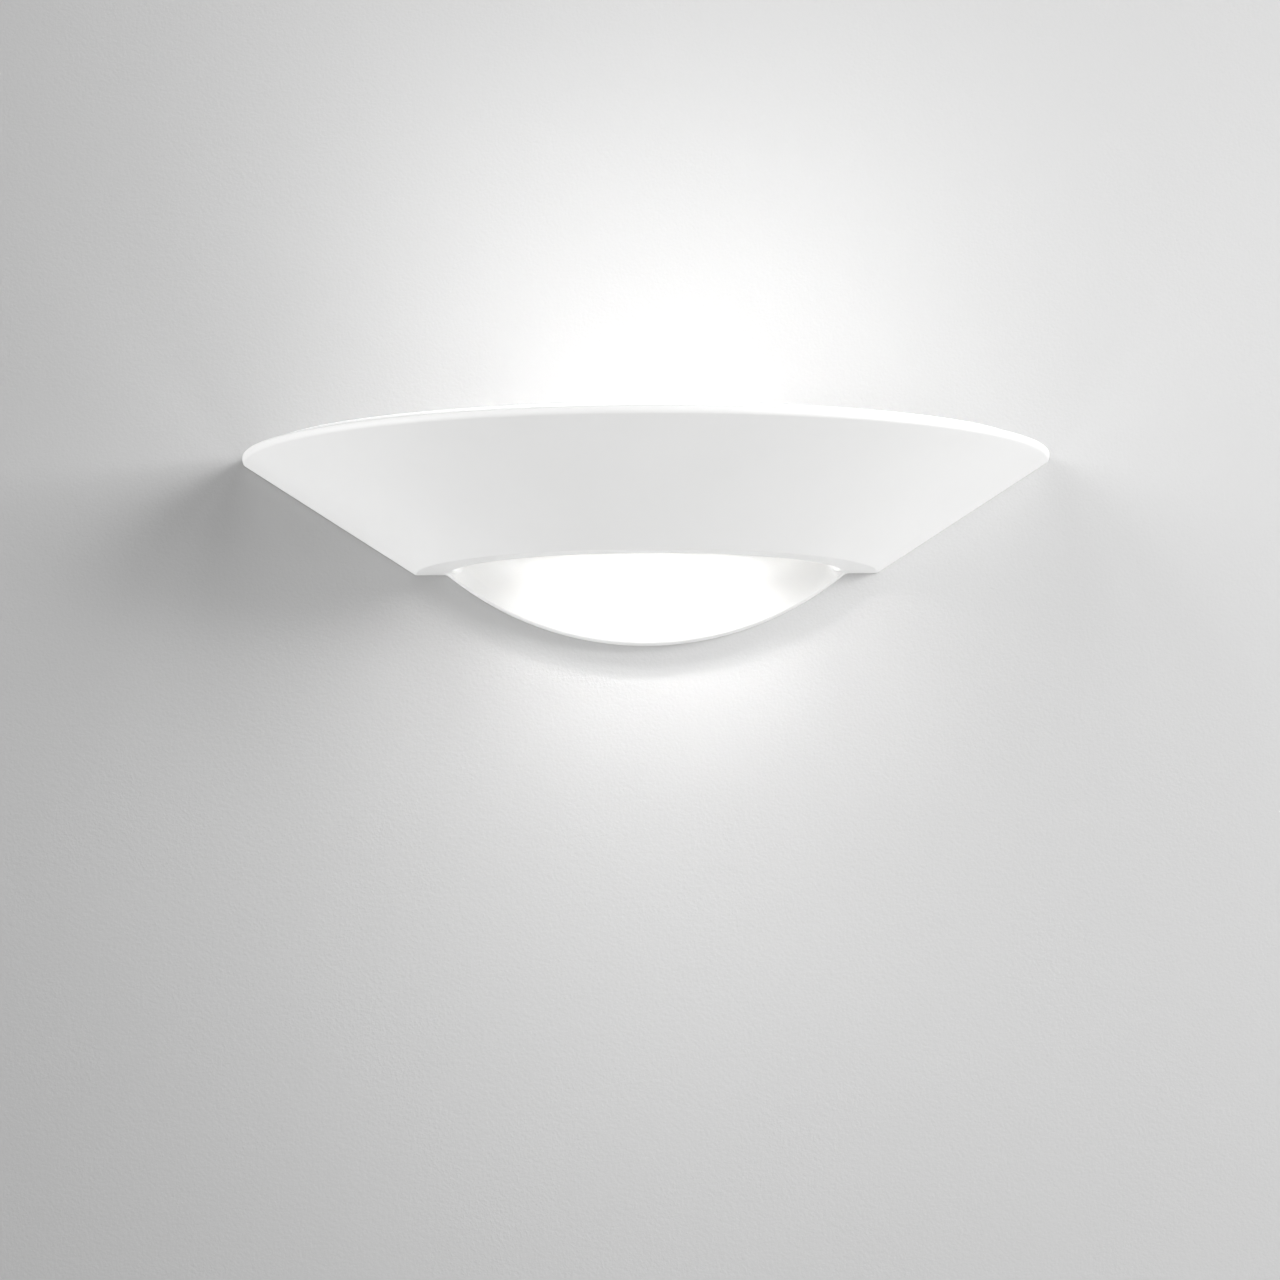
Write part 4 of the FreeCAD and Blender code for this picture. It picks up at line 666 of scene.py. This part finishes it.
# %% [markdown]
# ## The halogen lamp
#
# The quartz tube is drawn in at both ends, pinched flat while it is soft, and has a small tip
# where it was filled. A turned shape would give the neck but not the flat pinch, so the tube
# starts as a cylinder whose end faces are extruded and narrowed step by step. At the pinch the
# points move from an ellipse out to the near rectangle that the jaws leave. The bore is a
# second, inner surface.

# %% The quartz and a rod along the lamp
quartz = Finish("quartz")
haze = quartz.noise(12 * MM, 2.0)
quartz.surface(Base_Color=colour(0.96, 0.97, 0.98), Roughness=0.04 + haze * 0.03,
               Alpha=0.20 + haze * 0.05)


def rod(x, radius, length, sides=12):
    """A cylinder along the lamp's axis, with its middle at x."""
    return add("cylinder", vertices=sides, radius=radius, depth=length,
               location=LAMP_AXIS + Vector((x, 0, 0)), rotation=(0, math.radians(90), 0))


print("quartz", quartz.material.name)

# %% The quartz tube
TUBE_RADIUS, TUBE_HALF = 5.0 * MM, 34.0 * MM
PINCH_HALF_WIDTH, PINCH_HALF_HEIGHT, PINCH_END = 4.0, 1.5, 51.8
PINCH_FROM = 39.3 * MM
SQUARENESS = 0.45       # 1 keeps the ellipse, 0 would give a rectangle
# (distance from the middle, half width along Y, half height), in millimetres
NECK_STEPS = ((34.9, 4.9, 4.85), (35.7, 4.65, 4.45), (36.3, 4.35, 3.8), (36.9, 4.15, 3.0),
              (37.5, 4.05, 2.25), (38.3, 4.0, 1.7), (39.4, PINCH_HALF_WIDTH, PINCH_HALF_HEIGHT),
              (PINCH_END, PINCH_HALF_WIDTH, PINCH_HALF_HEIGHT))


def squared(value, half):
    """Moves a coordinate of an ellipse out towards the rectangle round it."""
    return math.copysign(abs(value / half) ** SQUARENESS, value) * half


tube = rod(0, TUBE_RADIUS, 2 * TUBE_HALF, 40)
for side in (-1, 1):
    reached, width, height = TUBE_HALF, TUBE_RADIUS, TUBE_RADIUS
    pick(tube, "polygons", lambda at: at.x * side > TUBE_HALF - 0.1 * MM)
    for far, wide, high in NECK_STEPS:
        step = side * (far * MM - reached)
        bpy.ops.mesh.extrude_region_move(TRANSFORM_OT_translate={"value": (step, 0, 0)})
        bpy.ops.transform.resize(value=(1, wide * MM / width, high * MM / height),
                                 center_override=(side * far * MM, LAMP_AXIS.y, 0))
        reached, width, height = far * MM, wide * MM, high * MM
    leave_edit()
for vertex in tube.data.vertices:
    at = vertex.co
    if abs(at.x) > PINCH_FROM:
        at.y = LAMP_AXIS.y + squared(at.y - LAMP_AXIS.y, PINCH_HALF_WIDTH * MM)
        at.z = squared(at.z, PINCH_HALF_HEIGHT * MM)
print("tube reaches", round(max(v.co.x for v in tube.data.vertices) / MM, 2), "mm")

# %% Its bore and its filling tip
BORE_RADIUS, BORE_ROUNDING = 4.0 * MM, 1.8 * MM
TIP_FOOT, TIP_END, TIP_HEIGHT, TIP_MIDDLE = 1.75 * MM, 0.75 * MM, 2.8 * MM, 5.8 * MM
TIP_ROUNDING = 0.5 * MM

bore = rod(0, BORE_RADIUS, 2 * TUBE_HALF, 32)
pick(bore, "polygons", lambda at: abs(at.x) > TUBE_HALF - 0.1 * MM)
bpy.ops.mesh.bevel(offset=BORE_ROUNDING, segments=5, profile=0.5)
bpy.ops.mesh.select_all(action="SELECT")
bpy.ops.mesh.flip_normals()
leave_edit()
tip = add("cone", vertices=20, radius1=TIP_FOOT, radius2=TIP_END, depth=TIP_HEIGHT,
          location=LAMP_AXIS + Vector((0, 0, TIP_MIDDLE)))
pick(tip, "polygons", lambda at: at.z > TIP_MIDDLE + TIP_HEIGHT / 2 - 0.1 * MM)
bpy.ops.mesh.bevel(offset=TIP_ROUNDING, segments=4, profile=0.5)
leave_edit()
tube = smooth(join("quartz_tube", tube, tip, bore), 40)
coat(tube, quartz)
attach(tube, "lamp")
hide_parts("lamp_tube")
print("quartz faces", len(tube.data.polygons))

# %% [markdown]
# ## The filament
#
# The filament is a fine coil of tungsten. A curve with a bevel could make it too, but the Screw
# modifier needs only one small circle beside the lamp's axis, which it turns into a helix.
# Straight leads join it to thin foils in the pinches, which make the seal that quartz and wire
# alone can't.

# %% The coil
COIL_HALF, COIL_RADIUS, COIL_PITCH = 29.5 * MM, 0.76 * MM, 0.5 * MM
COIL_WIRE = 0.13 * MM       # radius of the wire itself

hot = Finish("hot_filament")
hot.surface(
    Base_Color=hot.blend(hot.noise(3 * MM), colour(0.88, 0.78, 0.58), colour(0.92, 0.82, 0.62)),
    Roughness=0.5, Emission_Color=colour(1.0, 0.90, 0.72), Emission_Strength=6.0)

bpy.ops.object.select_all(action="DESELECT")
bpy.ops.mesh.primitive_circle_add(vertices=6, radius=COIL_WIRE, rotation=(math.radians(90), 0, 0),
                                  location=LAMP_AXIS - Vector((COIL_HALF, 0, 0)))
coil = bpy.context.object
bpy.ops.object.transform_apply(location=False, rotation=True, scale=True)
pick(coil, "vertices", lambda at: True)
bpy.ops.transform.translate(value=(0, 0, COIL_RADIUS))
leave_edit()
turns = round(2 * COIL_HALF / COIL_PITCH)
finish_with(coil, "SCREW", axis="X", angle=math.radians(360), screw_offset=COIL_PITCH,
            iterations=turns, steps=10, render_steps=10)
settle(coil)
pick(coil, "vertices", lambda at: True)
bpy.ops.mesh.fill_holes(sides=0)
leave_edit()
face_outwards(coil)
print("coil turns", turns, "faces", len(coil.data.polygons))

# %% The straight ends of the coil
LEAD_RADIUS, LEAD_LENGTH, LEAD_MIDDLE = 0.3 * MM, 5.6 * MM, 31.6 * MM
COLLAR_LENGTH, COLLAR_GROWTH = 0.5 * MM, 2.6    # the thicker end that the coil is clamped in
EDGE_ROUNDING = 0.1 * MM

ends = []
for side in (-1, 1):
    end = rod(side * LEAD_MIDDLE, LEAD_RADIUS, LEAD_LENGTH)
    lead_start = LEAD_MIDDLE - LEAD_LENGTH / 2
    pick(end, "polygons", lambda at: at.x * side < lead_start + 0.2 * MM)
    step = -side * COLLAR_LENGTH
    bpy.ops.mesh.extrude_region_move(TRANSFORM_OT_translate={"value": (step, 0, 0)})
    bpy.ops.transform.resize(value=(1, COLLAR_GROWTH, COLLAR_GROWTH),
                             center_override=(side * lead_start + step, LAMP_AXIS.y, 0))
    bpy.ops.mesh.bevel(offset=EDGE_ROUNDING, segments=2)
    leave_edit()
    ends.append(end)
filament = smooth(join("coiled_filament", coil, *ends), 50)
coat(filament, hot)
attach(filament, "lamp")
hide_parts("lamp_filament")
print("filament faces", len(filament.data.polygons))

# %% The sealing foils
FOIL_MIDDLE, FOIL_LENGTH, FOIL_WIDTH, FOIL_THICKNESS = 42.6 * MM, 7.4 * MM, 2.2 * MM, 0.06 * MM
FOIL_TAPER = 0.9 * MM
# (middle, radius, length) of the pins on either end of a foil
PINS = ((37.0 * MM, 0.32 * MM, 6.4 * MM), (48.4 * MM, 0.42 * MM, 5.6 * MM))

foils = []
for side in (-1, 1):
    foil = add("cube", size=1, location=LAMP_AXIS + Vector((side * FOIL_MIDDLE, 0, 0)),
               scale=(FOIL_LENGTH, FOIL_WIDTH, FOIL_THICKNESS))
    for end in (-1, 1):
        pick(foil, "polygons", lambda at: (at.x - side * FOIL_MIDDLE) * end > 3.6 * MM)
        step = end * FOIL_TAPER
        bpy.ops.mesh.extrude_region_move(TRANSFORM_OT_translate={"value": (step, 0, 0)})
        bpy.ops.transform.resize(value=(1, 0.5, 1))
        leave_edit()
    foils.append(foil)
    for middle, radius, length in PINS:
        pin = rod(side * middle, radius, length)
        pick(pin, "polygons", lambda at: abs(at.y - LAMP_AXIS.y) < 0.02 * MM)
        bpy.ops.mesh.bevel(offset=EDGE_ROUNDING, segments=2)
        leave_edit()
        foils.append(pin)
foils = smooth(join("sealing_foils", *foils), 40)
coat(foils, tungsten)
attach(foils, "lamp")
print("foil faces", len(foils.data.polygons))

# %% [markdown]
# ## The box of what shows
#
# The box of what shows is measured, without the wall and the floor.

# %% Sizes
low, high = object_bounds()
